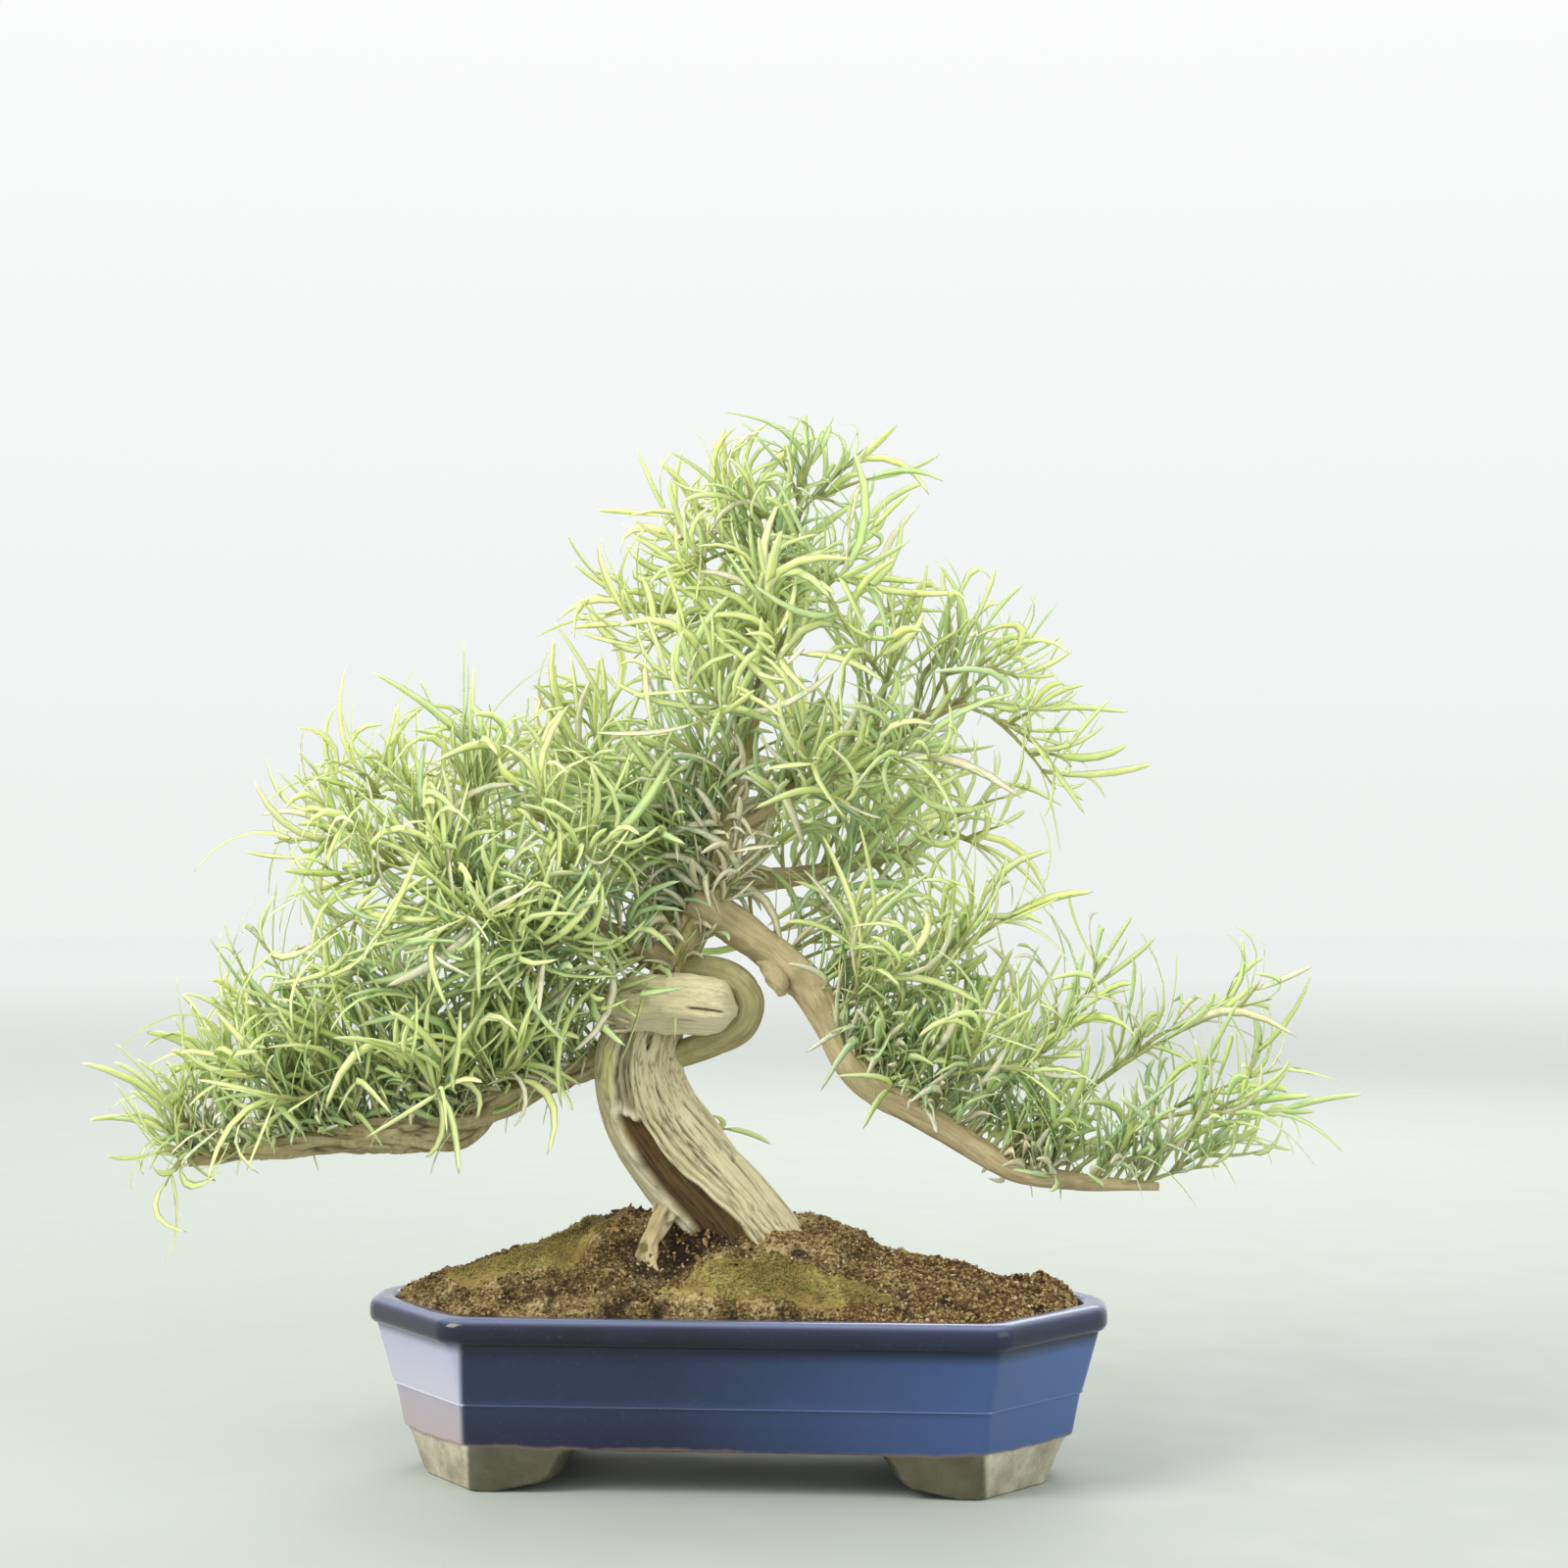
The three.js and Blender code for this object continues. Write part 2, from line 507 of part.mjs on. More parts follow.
// The least distance between two straight stretches, each [start, end].
function between([a, b], [c, d]) {
  const [u, v, w] = [b.clone().sub(a), d.clone().sub(c), a.clone().sub(c)];
  const [uu, uv, vv, uw, vw] = [u.dot(u), u.dot(v), v.dot(v), u.dot(w), v.dot(w)];
  const clamp = (value) => Math.min(1, Math.max(0, value));
  const bend = uu * vv - uv * uv;
  let s = bend > 1e-9 ? clamp((uv * vw - vv * uw) / bend) : 0;
  const t = clamp((uv * s + vw) / vv);
  s = clamp((uv * t - uw) / uu);
  return a.clone().addScaledVector(u, s).distanceTo(c.clone().addScaledVector(v, t));
}

// Stretches of wood and leaf that others keep clear of, each with the piece that it belongs to and its reach.
const taken = [];

function take(owner, curve, steps, reach) {
  const points = curve.getPoints(steps);
  for (let i = 0; i < steps; i++) {
    taken.push({ owner, ends: [points[i], points[i + 1]], reach: reach(i / steps) });
  }
}

const isClear = (owner, ends, reach) =>
  taken.every((other) => other.owner === owner || between(ends, other.ends) > reach + other.reach + GAP);

// The leaves along one twig, turned a golden angle from one to the next. A leaf that would touch another
// spray or a limb is turned on until it's clear, or left out.
function leavesOn(owner, curve) {
  const count = Math.max(2, Math.floor((LEAFY_SHARE * curve.getLength()) / LEAF_SPACING));
  const leaves = [];
  for (let i = 0; i <= count; i++) {
    const share = 0.98 - (LEAFY_SHARE * i) / count;
    const from = curve.getPoint(share);
    const ahead = curve.getTangent(share);
    const across = at(0, 0, 1).addScaledVector(ahead, -ahead.z).normalize();
    const spread = i === 0 ? TIP_LEAF_ANGLE : LEAF_ANGLE;
    const leafAt = (turn) => {
      const outwards = across.clone().applyAxisAngle(ahead, turn).multiplyScalar(Math.sin(spread));
      const reach = outwards.addScaledVector(ahead, Math.cos(spread)).setLength(LEAF_LENGTH);
      return [from, reach.add(from)];
    };
    const tries = Array.from({ length: 8 }, (_, k) => leafAt(i * GOLDEN_ANGLE + (k * Math.PI) / 4));
    const ends = tries.find((leaf) => isClear(owner, leaf, LEAF_WIDTH / 2));
    if (!ends) continue;
    leaves.push(leafSolid(...ends));
    taken.push({ owner, ends, reach: LEAF_WIDTH / 2 });
  }
  return leaves;
}

function makeSprays() {
  const sprays = Object.entries(SPRAYS).flatMap(([limb, rows]) =>
    rows.map((row, i) => ({ name: `${limb}_spray_${i + 1}`, limb, twigs: twigsOf(limb, row) })),
  );
  for (const limb of Object.keys(LIMBS)) {
    const swell = SECTION[limb]?.flatness ?? PLAIN_SECTION.flatness;
    take(limb, limbCurve(limb), 24, (share) => (1 + 2 * swell) * limbRadius(limb, share));
  }
  for (const { name, twigs } of sprays) twigs.forEach((twig) => take(name, twig, 6, twigRadius));
  return sprays.map(({ name, limb, twigs }) => {
    const grown = twigs.flatMap((twig) => [twigSolid(twig), ...leavesOn(name, twig)]);
    return piece(name, wasm.Manifold.union(grown).subtract(makeLimb(limb, GAP)), leafGreen);
  });
}

// ---- The whole ----
const BARE_WOOD = ["trunk", "jin_stub"]; // the limbs that have lost their bark
const inSoil = [makeLimb("trunk", GAP), makeLimb("surface_root", GAP)];
const bonsai = new THREE.Group();
bonsai.add(piece("pot", makePot(), glaze));
bonsai.add(piece("drain_screen_left", makeScreen(-1), plastic));
bonsai.add(piece("drain_screen_right", makeScreen(1), plastic));
bonsai.add(piece("soil", makeSoil(inSoil), earth));
for (const [name, patch] of Object.entries(MOSS)) bonsai.add(piece(name, makeMoss(patch, inSoil), moss));
for (const name of Object.keys(LIMBS)) {
  bonsai.add(piece(name, fittedLimb(name), BARE_WOOD.includes(name) ? driftwood : bark));
}
for (const spray of makeSprays()) bonsai.add(spray);

// The origin is the middle of the whole plant's outline on the ground.
const middle = new THREE.Box3().setFromObject(bonsai).getCenter(at(0, 0, 0));
bonsai.position.set(-middle.x, -middle.y, 0);

export default bonsai;
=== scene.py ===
# %% [markdown]
# # A willow-leaved bonsai in a glazed pot
# A leaning driftwood trunk carries low, wide side branches full of narrow leaves. It is rooted in a mossy
# mound of earth, in a shallow eight-sided pot on four corner feet. Each step below makes one part of it as a
# surface worked out from a formula, and gives it a finish.

import bpy
import numpy as np
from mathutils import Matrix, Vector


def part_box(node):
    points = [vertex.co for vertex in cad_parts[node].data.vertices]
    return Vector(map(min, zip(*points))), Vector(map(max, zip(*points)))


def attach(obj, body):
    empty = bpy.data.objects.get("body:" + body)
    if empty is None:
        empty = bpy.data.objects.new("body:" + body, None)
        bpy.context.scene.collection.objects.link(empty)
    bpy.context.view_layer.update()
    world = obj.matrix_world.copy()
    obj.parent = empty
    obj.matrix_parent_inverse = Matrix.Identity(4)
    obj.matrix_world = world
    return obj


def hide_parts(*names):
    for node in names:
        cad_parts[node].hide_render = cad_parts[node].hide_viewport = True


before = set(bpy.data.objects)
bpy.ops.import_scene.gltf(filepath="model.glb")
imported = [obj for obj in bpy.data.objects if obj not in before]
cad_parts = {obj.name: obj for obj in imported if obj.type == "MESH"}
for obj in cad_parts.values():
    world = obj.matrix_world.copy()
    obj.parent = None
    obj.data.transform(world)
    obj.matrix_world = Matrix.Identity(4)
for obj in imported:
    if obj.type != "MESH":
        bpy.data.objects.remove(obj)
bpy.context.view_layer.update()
pot_low, pot_high = (np.array(corner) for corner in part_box("pot"))
POT_MIDDLE = np.array([*(pot_low + pot_high)[:2] / 2, pot_low[2]])
POT_LENGTH, POT_DEPTH, POT_HEIGHT = (pot_high - pot_low) * 1000
print("pot", np.round([POT_LENGTH, POT_DEPTH, POT_HEIGHT], 1), "mm, its middle at", np.round(POT_MIDDLE, 4))

# %% [markdown]
# ## Tools for surfaces
# All shapes are worked out in millimetres from the middle of the pot's foot, as whole arrays: rows run along
# a piece and columns run round it. Two small tools turn such a grid into a mesh. Four neighbours make a face,
# and the point added at each end closes the first and the last row.


# %% Faces of a grid
def grid_faces(rows, columns):
    """Faces of a grid of points whose columns close on themselves, as (i, j), (i, j+1), (i+1, j+1), (i+1, j)
    for every i and j. Two more points, after the grid, close the first and the last row with a fan each."""
    i, j = np.meshgrid(np.arange(rows - 1), np.arange(columns), indexing="ij")
    k = (j + 1) % columns
    quads = np.stack([i * columns + j, i * columns + k, (i + 1) * columns + k, (i + 1) * columns + j], -1)
    j, k, last = j[0], k[0], (rows - 1) * columns
    start, end = np.full(columns, rows * columns), np.full(columns, rows * columns + 1)
    fans = np.concatenate([np.stack([start, k, j], -1), np.stack([end, last + j, last + k], -1)])
    return [quads.reshape(-1, 4), fans]


def closed_grid(points):
    """A grid of points with the middles of its first and last rows added, and its faces."""
    rows, columns = points.shape[:2]
    ends = [points[0].mean(axis=0), points[-1].mean(axis=0)]
    return np.vstack([points.reshape(-1, 3), ends]), grid_faces(rows, columns)


def with_ends(values):
    """Values of a grid as a list for all its points, with those of the two end points added."""
    kind = values.shape[2:]
    ends = [values[0].mean(axis=0), values[-1].mean(axis=0)]
    return np.concatenate([values.reshape(-1, *kind), np.reshape(ends, (2, *kind))])


# %% One shape out of many
def joined(shapes):
    """Several (points, faces) as one: the faces of each count on from the points before it."""
    starts = np.cumsum([0] + [len(points) for points, _ in shapes])
    kinds = {}
    for start, (_, faces) in zip(starts, shapes):
        for group in faces:
            kinds.setdefault(group.shape[1], []).append(group + start)
    return np.vstack([points for points, _ in shapes]), [np.vstack(groups) for groups in kinds.values()]


def repeated(points, faces):
    """A stack of like shapes, (shape, point, xyz), as one set of points and faces."""
    count, size = points.shape[:2]
    starts = np.arange(count)[:, None, None] * size
    return points.reshape(-1, 3), [(group[None] + starts).reshape(-1, group.shape[1]) for group in faces]


# %% A piece of the model
def add_piece(name, shape, slot, material, nodes=(), crisp=None, **marks):
    """Makes a mesh object in metres from a shape in millimetres. marks are numbers stored at each point, for
    the material to read. crisp is the angle in degrees past which an edge stays sharp."""
    points, faces = shape
    mesh = bpy.data.meshes.new(name)
    mesh.vertices.add(len(points))
    mesh.vertices.foreach_set("co", (points / 1000 + POT_MIDDLE).astype(np.float32).ravel())
    sizes = np.concatenate([np.full(len(group), group.shape[1]) for group in faces])
    mesh.loops.add(int(sizes.sum()))
    corners = np.concatenate([group.ravel() for group in faces])
    mesh.loops.foreach_set("vertex_index", corners.astype(np.int32))
    mesh.polygons.add(len(sizes))
    mesh.polygons.foreach_set("loop_start", (np.cumsum(sizes) - sizes).astype(np.int32))
    mesh.update(calc_edges=True)
    mesh.shade_smooth()
    if crisp is not None:
        mesh.set_sharp_from_angle(angle=np.radians(crisp))
    for mark, values in marks.items():
        values = np.asarray(values, dtype=np.float32)
        kind, field = ("FLOAT_VECTOR", "vector") if values.ndim == 2 else ("FLOAT", "value")
        mesh.attributes.new(mark, kind, "POINT").data.foreach_set(field, values.ravel())
    mesh.materials.append(material)
    piece = bpy.data.objects.new(name, mesh)
    bpy.context.scene.collection.objects.link(piece)
    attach(piece, "root")
    if nodes:
        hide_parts(*nodes)
    print(f"{name}: {len(points)} points, {len(sizes)} faces")
    return piece


# %% [markdown]
# ## Tools for finishes
# A finish is a network of nodes that ends in one Principled shader. These helpers keep each network down to
# a few lines that read from the pattern to the colour.

# %% Shader helpers
def tone(code):
    """A colour as seen on a screen, such as "c9bd96", in the linear numbers that shaders use."""
    seen = np.array([int(code[i : i + 2], 16) for i in (0, 2, 4)]) / 255
    return (*np.where(seen <= 0.04045, seen / 12.92, ((seen + 0.055) / 1.055) ** 2.4), 1.0)


def new_material(name, **sockets):
    """A material, and a function that adds a node to it: settings in a node's own words, inputs by name."""
    material = bpy.data.materials.new(name)
    material.use_nodes = True
    tree = material.node_tree
    shader = tree.nodes["Principled BSDF"]
    for socket, value in sockets.items():
        shader.inputs[socket.replace("_", " ")].default_value = value

    def add(kind, out=0, inputs=None, **settings):
        made = tree.nodes.new("ShaderNode" + kind)
        for setting, value in settings.items():
            setattr(made, setting, value)
        for socket, value in (inputs or {}).items():
            if isinstance(value, bpy.types.NodeSocket):
                tree.links.new(value, made.inputs[socket])
            else:
                made.inputs[socket].default_value = value
        return made.outputs[out]

    def finish(**feeds):
        for socket, value in feeds.items():
            tree.links.new(value, shader.inputs[socket.replace("_", " ")])
        return material

    return add, finish


# %% Patterns and mixes
def coordinates(add):
    """Where a point is on the model, in metres."""
    return add("TexCoord", out="Object")


def mark(add, name, out="Fac"):
    """Numbers stored at the points of the mesh."""
    return add("Attribute", out=out, attribute_name=name)


def speckle(add, where, size, detail=4.0, rough=0.55):
    """Cloudy noise with lumps of a size in metres."""
    inputs = {"Vector": where, "Scale": 1 / size, "Detail": detail, "Roughness": rough}
    return add("TexNoise", inputs=inputs)


def spread(add, value, low, high, start=0.0, end=1.0):
    """Stretches the values from low to high over start to end."""
    inputs = {"Value": value, "From Min": low, "From Max": high, "To Min": start, "To Max": end}
    return add("MapRange", inputs=inputs)


def mixed(add, share, one, other):
    """One colour turning into another as the share goes from 0 to 1."""
    return add("Mix", out=2, inputs={0: share, 6: one, 7: other}, data_type="RGBA")


def reckoned(add, one, operation, other, **settings):
    """Two numbers added, multiplied or taken one from the other."""
    return add("Math", inputs={0: one, 1: other}, operation=operation, **settings)


def part_of(add, where, axis):
    """One of the three coordinates of a place."""
    return add("SeparateXYZ", out=axis, inputs={"Vector": where})


def tones(add, value, *stops):
    """A ramp of colours at places from 0 to 1."""
    out = add("ValToRGB", inputs={"Fac": value})
    ramp = out.node.color_ramp
    while len(ramp.elements) < len(stops):
        ramp.elements.new(0.5)
    for element, (place, code) in zip(ramp.elements, stops):
        element.position = place
        element.color = tone(code)
    return out


def relief(add, height, depth, strength=1.0):
    """Small bumps, as deep as given in metres."""
    return add("Bump", inputs={"Height": height, "Distance": depth, "Strength": strength})


# %% [markdown]
# ## Randomness with a memory
# Bark, earth and leaves need irregular shapes, but the same ones each time. Smooth noise is made from a block
# of random numbers: each point in space blends the eight numbers at the corners of the cell that it is in.
# Adding finer and fainter copies gives lumps on lumps.


# %% Noise
def noise(points, size, seed, octaves=4):
    """Smooth random heights of about -1 to 1 at points in space, with lumps of about the size. Each octave is
    half as large and half as strong as the one before it."""
    block = np.random.default_rng(seed).uniform(-1, 1, (32, 32, 32))
    total = np.zeros(points.shape[:-1])
    for octave in range(octaves):
        place = points / size * 2**octave + 7.3 * octave
        corner = np.floor(place).astype(int)
        part = place - corner
        part = part * part * (3 - 2 * part)
        for shift in np.ndindex(2, 2, 2):
            x, y, z = np.moveaxis((corner + shift) % 32, -1, 0)
            total += np.prod(np.where(shift, part, 1 - part), axis=-1) * block[x, y, z] / 2**octave
    return total


def smooth_step(value, low, high):
    """0 below low, 1 above high, and 3t² - 2t³ between."""
    t = np.clip((value - low) / (high - low), 0, 1)
    return t * t * (3 - 2 * t)


def unit(vectors):
    """Vectors of length one."""
    return vectors / np.linalg.norm(vectors, axis=-1, keepdims=True)


# %% [markdown]
# ## The pot's shape
# A mould-cast pot is one profile carried round an eight-sided outline. The outline is straight runs with a
# small curve at each corner, and drawing it in moves every point along a straight line, so one set of points
# and one set of shifts describe it at every height. The feet come from letting the lower edge rise and fall
# along the outline: a tread at the corners, a slow slope and a double curve up to the body.

# %% Sizes of the pot
CORNER_ALONG = 43
CORNER_ACROSS = 56
RIM_HEIGHT = 11
RIM_OVERHANG = 3.5
RIM_ROUND = 5
RIM_SOFTNESS = 7
BODY_SOFTNESS = 2.5
POT_TAPER = 14
BELT_HEIGHT = 36
BELT_STEP = 0.7
WALL = 7
FOOT_HEIGHT = 18
FOOT_TREAD = 8
FOOT_SLOPE = 18
FOOT_LIFT = 4
FOOT_CURL = 15
END_CURL = 10
END_SETBACK = 12
FOOT_THICKNESS = 15
FOOT_ROUND = 1.6
INNER_ROUND = 3
CAVITY_FLOOR = 24
DRAIN_RADIUS = 9
DRAIN_SPACING = 140
NECK = POT_HEIGHT - RIM_HEIGHT
RIM_INSET = RIM_OVERHANG + WALL


# %% The eight-sided outline
def half_sizes(inset):
    """Half the length and half the depth of the outline drawn in by inset, and what a cut corner takes of
    each. A corner's share shrinks by 1 - tan(half the angle that the outline turns there)."""
    bend = np.arctan2([CORNER_ACROSS, CORNER_ALONG], [CORNER_ALONG, CORNER_ACROSS])
    along, across = np.array([CORNER_ALONG, CORNER_ACROSS]) - inset * (1 - np.tan(bend / 2))
    return POT_LENGTH / 2 - inset, POT_DEPTH / 2 - inset, along, across


def outline(inset, softness):
    """The pot's outline seen from above, drawn in all round by inset. Each corner is a quadratic curve that
    starts and ends softness away from it, and the runs between have more points near their ends."""
    length, depth, along, across = half_sizes(inset)
    full, cut = np.array([[1, 1, 0, 0, -1, -1, 0, 0], [0, 0, 1, -1, 0, 0, -1, 1]])
    x = full * length + cut * (length - along)
    y = np.roll(full, 2) * depth + np.roll(cut, 2) * (depth - across)
    corners = np.stack([x, y], -1)[:, None]
    before = corners + softness * unit(np.roll(corners, 1, axis=0) - corners)
    after = corners + softness * unit(np.roll(corners, -1, axis=0) - corners)
    t = np.linspace(0, 1, 9)[:, None]
    curve = (1 - t) ** 2 * before + 2 * t * (1 - t) * corners + t**2 * after
    share = (1 - np.cos(np.pi * np.linspace(0, 1, 66)[1:-1, None])) / 2
    run = after + share * (np.roll(before, -1, axis=0) - after)
    return np.concatenate([curve, run], axis=1).reshape(-1, 2)


OUTLINE = outline(0, 0)
DRAW_IN = outline(1, 0) - OUTLINE
SOFTEN = outline(0, 1) - OUTLINE


def ring(inset, softness):
    """The outline for whole arrays of inset and softness: outline + inset × shift + softness × other
    shift."""
    inset, softness = np.asarray(inset)[..., None], np.asarray(softness)[..., None]
    return OUTLINE + inset * DRAW_IN + softness * SOFTEN


print("outline of", len(OUTLINE), "points")


# %% The body's slope and the arches between its feet
def body_inset(z):
    """How far the body draws in below the rim: half its taper down to the belt, a step, and the other
    half."""
    upper = RIM_OVERHANG + POT_TAPER / 2 * np.minimum(1, (NECK - z) / (NECK - BELT_HEIGHT))
    return np.where(z >= BELT_HEIGHT, upper, upper + BELT_STEP + POT_TAPER / 2 * (1 - z / BELT_HEIGHT))


def arch(place, reach, slope, lift, curl):
    """The height of the lower edge at a distance from the middle of a side: nothing past the reach, a
    straight slope up to the lift, and then the double curve of a cubic, 3t² - 2t³, up to the body."""
    t = np.linspace(0, 1, 65)
    inwards = reach - slope - np.abs(place)
    rise = np.interp(inwards / curl, 1.5 * t - 1.5 * t**2 + t**3, 3 * t**2 - 2 * t**3)
    ramp = lift * np.clip((reach - np.abs(place)) / max(slope, 1e-6), 0, 1)
    return np.where(inwards > 0, lift + (FOOT_HEIGHT - lift) * rise, ramp)


base_inset = float(body_inset(0))
foot_line = ring(base_inset, BODY_SOFTNESS)
length, depth, along, across = half_sizes(base_inset)
lower_edge = np.maximum(
    arch(foot_line[:, 0], length - along - FOOT_TREAD, FOOT_SLOPE, FOOT_LIFT, FOOT_CURL),
    arch(foot_line[:, 1], depth - across + END_SETBACK, 0.001, 0, END_CURL),
)
print("lower edge from", lower_edge.min(), "to", round(lower_edge.max(), 1), "mm over the table")


# %% The profile
def quarter(count):
    """A column of angles over a quarter turn."""
    return np.linspace(0, np.pi / 2, count)[:, None]


def pot_points():
    """The profile's rows from the middle of the underside, out and down the inner face of the feet, round
    the lower edge, up the outside, over the rim, and down the inside to the middle of the cavity's floor.
    Each row gives an inset and a height at every point of the outline, and how soft the corners are there."""
    edge = lower_edge[None]
    under = FOOT_HEIGHT + 0.4
    inner = float(body_inset(FOOT_HEIGHT)) + FOOT_THICKNESS
    rows = []

    def add_rows(inset, z, softness=BODY_SOFTNESS, scale=1.0):
        inset, z, softness, scale, _ = np.broadcast_arrays(inset, z, softness, scale, edge)
        xy = ring(inset, softness) * scale[..., None]
        rows.append(np.concatenate([xy, z[..., None]], -1))

    add_rows(inner, under, scale=np.array([[0.05], [0.5], [1]]))
    add_rows(inner, edge + 1 + (under - edge - 1) * np.array([[0.7], [0.3], [0]]))
    a = quarter(4)
    add_rows(inner - 1 + np.cos(a[1:]), edge + 1 - np.sin(a[1:]))
    side = edge + FOOT_ROUND
    add_rows(body_inset(side) + FOOT_ROUND * (1 - np.sin(a)), edge + FOOT_ROUND * (1 - np.cos(a)))
    wall = side + (BELT_HEIGHT - 0.8 - side) * np.linspace(0, 1, 10)[1:, None]
    add_rows(body_inset(wall), wall)
    groove = float(body_inset(BELT_HEIGHT)) + BELT_STEP
    step = np.array([[-0.3], [0.3], [1]])
    add_rows(np.array([[groove], [groove - 1.1], [groove - 0.8]]), BELT_HEIGHT + step)
    wall = np.linspace(BELT_HEIGHT + 3, NECK - 0.5, 8)[:, None]
    add_rows(body_inset(wall), wall)
    a = quarter(7)
    softness = BODY_SOFTNESS + (RIM_SOFTNESS - BODY_SOFTNESS) * np.sin(a)
    add_rows(RIM_OVERHANG * (1 - np.sin(a)), NECK + RIM_OVERHANG * (1 - np.cos(a)), softness)
    a = quarter(10)
    add_rows(RIM_ROUND * (1 - np.cos(a)), POT_HEIGHT - RIM_ROUND * (1 - np.sin(a)), RIM_SOFTNESS)
    a = quarter(6)
    inset = RIM_INSET - INNER_ROUND * (1 - np.sin(a))
    add_rows(inset, POT_HEIGHT - INNER_ROUND * (1 - np.cos(a)), RIM_SOFTNESS)
    inside = np.array([[NECK], [BELT_HEIGHT], [CAVITY_FLOOR]])
    add_rows(np.maximum(RIM_INSET, body_inset(inside) + WALL), inside, RIM_SOFTNESS)
    floor_inset = float(body_inset(CAVITY_FLOOR)) + WALL
    add_rows(floor_inset, CAVITY_FLOOR, RIM_SOFTNESS, scale=np.array([[0.5], [0.05]]))
    return np.concatenate(rows)


pot_grid = pot_points()
print("pot profile of", len(pot_grid), "rows")

# %% [markdown]
# ## The glaze
# The pot was dipped in a slate-blue glaze and stood on bare feet. The glaze is glossy and breaks to a paler
# lavender where it runs thin over the rim's top edge, and that pale edge is also a painted highlight. At the
# belt the glaze is a little paler: partly thin glaze on the step's edge, partly a painted reflection streak
# just above it. Below the belt the glaze turns purplish, ends in a thin rusty line, and leaves cream clay
# below. The height above the table drives these bands, and noise makes their edges wander. At the left end a
# pale painted reflection covers the glaze, and towards the right a painted reflection makes it a brighter
# blue. The clay of the feet is darker along the pot's long sides, which is painted shade.


# %% Glaze and clay
def glaze_finish():
    """Bands of blue by the wandering height, bare clay under the last of them, and the marks of the pot. A
    painted reflection brightens the blue towards the right, and the marks paint a reflection on the left end,
    a highlight on the rim and shade on the feet.
    """
    add, finish = new_material("slate_glaze", Coat_Weight=0.22, Coat_Roughness=0.06, Specular_IOR_Level=0.35)
    where = coordinates(add)
    height = part_of(add, where, "Z")
    clouds = speckle(add, where, 0.03)
    fine = speckle(add, where, 0.0022, detail=5.0)
    wander = spread(add, clouds, 0.2, 0.8, -0.002, 0.002)
    level = reckoned(add, height, "ADD", wander)
    band = spread(add, level, 0.016, 0.075)
    # The paler stop at 0.36, just above the belt, is a painted reflection streak.
    blue = tones(add, band, (0.0, "201f38"), (0.2, "1e2842"), (0.33, "24324f"), (0.36, "2f4062"),
                 (0.42, "24334f"), (0.66, "1f2d48"), (0.8, "0a0e1c"), (0.87, "0c1022"), (1.0, "1a2040"))
    blue = mixed(add, spread(add, fine, 0.6, 0.85, 0.0, 0.08), blue, tone("8d99bd"))
    blue = mixed(add, spread(add, clouds, 0.35, 0.75, 0.0, 0.3), blue, tone("1d2640"))
    # Painted reflection: the glaze turns a brighter blue towards the right end, below the rim.
    to_the_right = spread(add, part_of(add, where, "X"), -0.02, 0.15, 0.0, 0.75)
    right_reflection = reckoned(add, to_the_right, "MULTIPLY", spread(add, height, 0.056, 0.061, 1.0, 0.1))
    blue = mixed(add, right_reflection, blue, tone("4d6ca8"))
    # Painted reflection: lavender-white on the left end above the belt, pinkish grey below it.
    left_reflection_tones = tones(add, band, (0.0, "c2aeb0"), (0.3, "b7afbc"), (0.36, "d5d3e6"), (0.9, "b4bad8"))
    blue = mixed(add, mark(add, "painted_reflection_left"), blue, left_reflection_tones)
    # The thin mark is thin glaze, and also a painted highlight on the rim's top edge and a painted reflection
    # streak at the belt.
    blue = mixed(add, mark(add, "thin"), blue, tone("9ba6cf"))
    blue = mixed(add, spread(add, level, 0.0182, 0.0198), tone("77605c"), blue)
    blotches = speckle(add, where, 0.012, detail=6.0)
    clay = tones(add, blotches, (0.3, "8d8872"), (0.5, "aca791"), (0.7, "c9c4b0"))
    grit = speckle(add, where, 0.0012, detail=3.0)
    clay = mixed(add, spread(add, grit, 0.55, 0.75, 0.0, 0.5), clay, tone("6f6a55"))
    # Painted shade: the bare clay of the feet darkens along the pot's long sides.
    clay = mixed(add, spread(add, mark(add, "feet_shade"), 0.0, 1.0, 0.0, 0.85), clay, tone("37361f"))
    bare = spread(add, level, 0.0188, 0.0178)
    colour = mixed(add, bare, blue, clay)
    rough = spread(add, bare, 0.0, 1.0, 0.16, 0.85)
    waves = reckoned(add, clouds, "ADD", fine)
    return finish(Base_Color=colour, Roughness=rough, Normal=relief(add, waves, 0.0002, 0.35))


glaze = glaze_finish()
x, y, z = np.moveaxis(pot_grid, -1, 0)
# Thin glaze with a painted highlight on the rim's top edge, and with a painted reflection streak at the belt.
rim_thin_glaze_and_highlight = np.exp(-((z - POT_HEIGHT + 0.8) ** 2))
belt_thin_glaze_and_streak = 0.08 * np.exp(-(((z - BELT_HEIGHT - 0.3) / 0.8) ** 2))
long_side = POT_LENGTH / 2 - CORNER_ALONG - 0.12 * np.abs(y)
# Where the painted reflection lies: the left end, below the rim.
left_reflection_mask = smooth_step(-x - long_side, 0, 3) * smooth_step(z, NECK + 3, NECK - 4)
marks = {
    "thin": with_ends(np.maximum(rim_thin_glaze_and_highlight, belt_thin_glaze_and_streak) * 0.45),
    "painted_reflection_left": with_ends(0.8 * left_reflection_mask),
    # Painted shade on the feet along the long sides.
    "feet_shade": with_ends(smooth_step(long_side - np.abs(x), 0, 2)),
}
pot = add_piece("glazed_pot", closed_grid(pot_grid), "glaze", glaze, ["pot"], crisp=24, **marks)

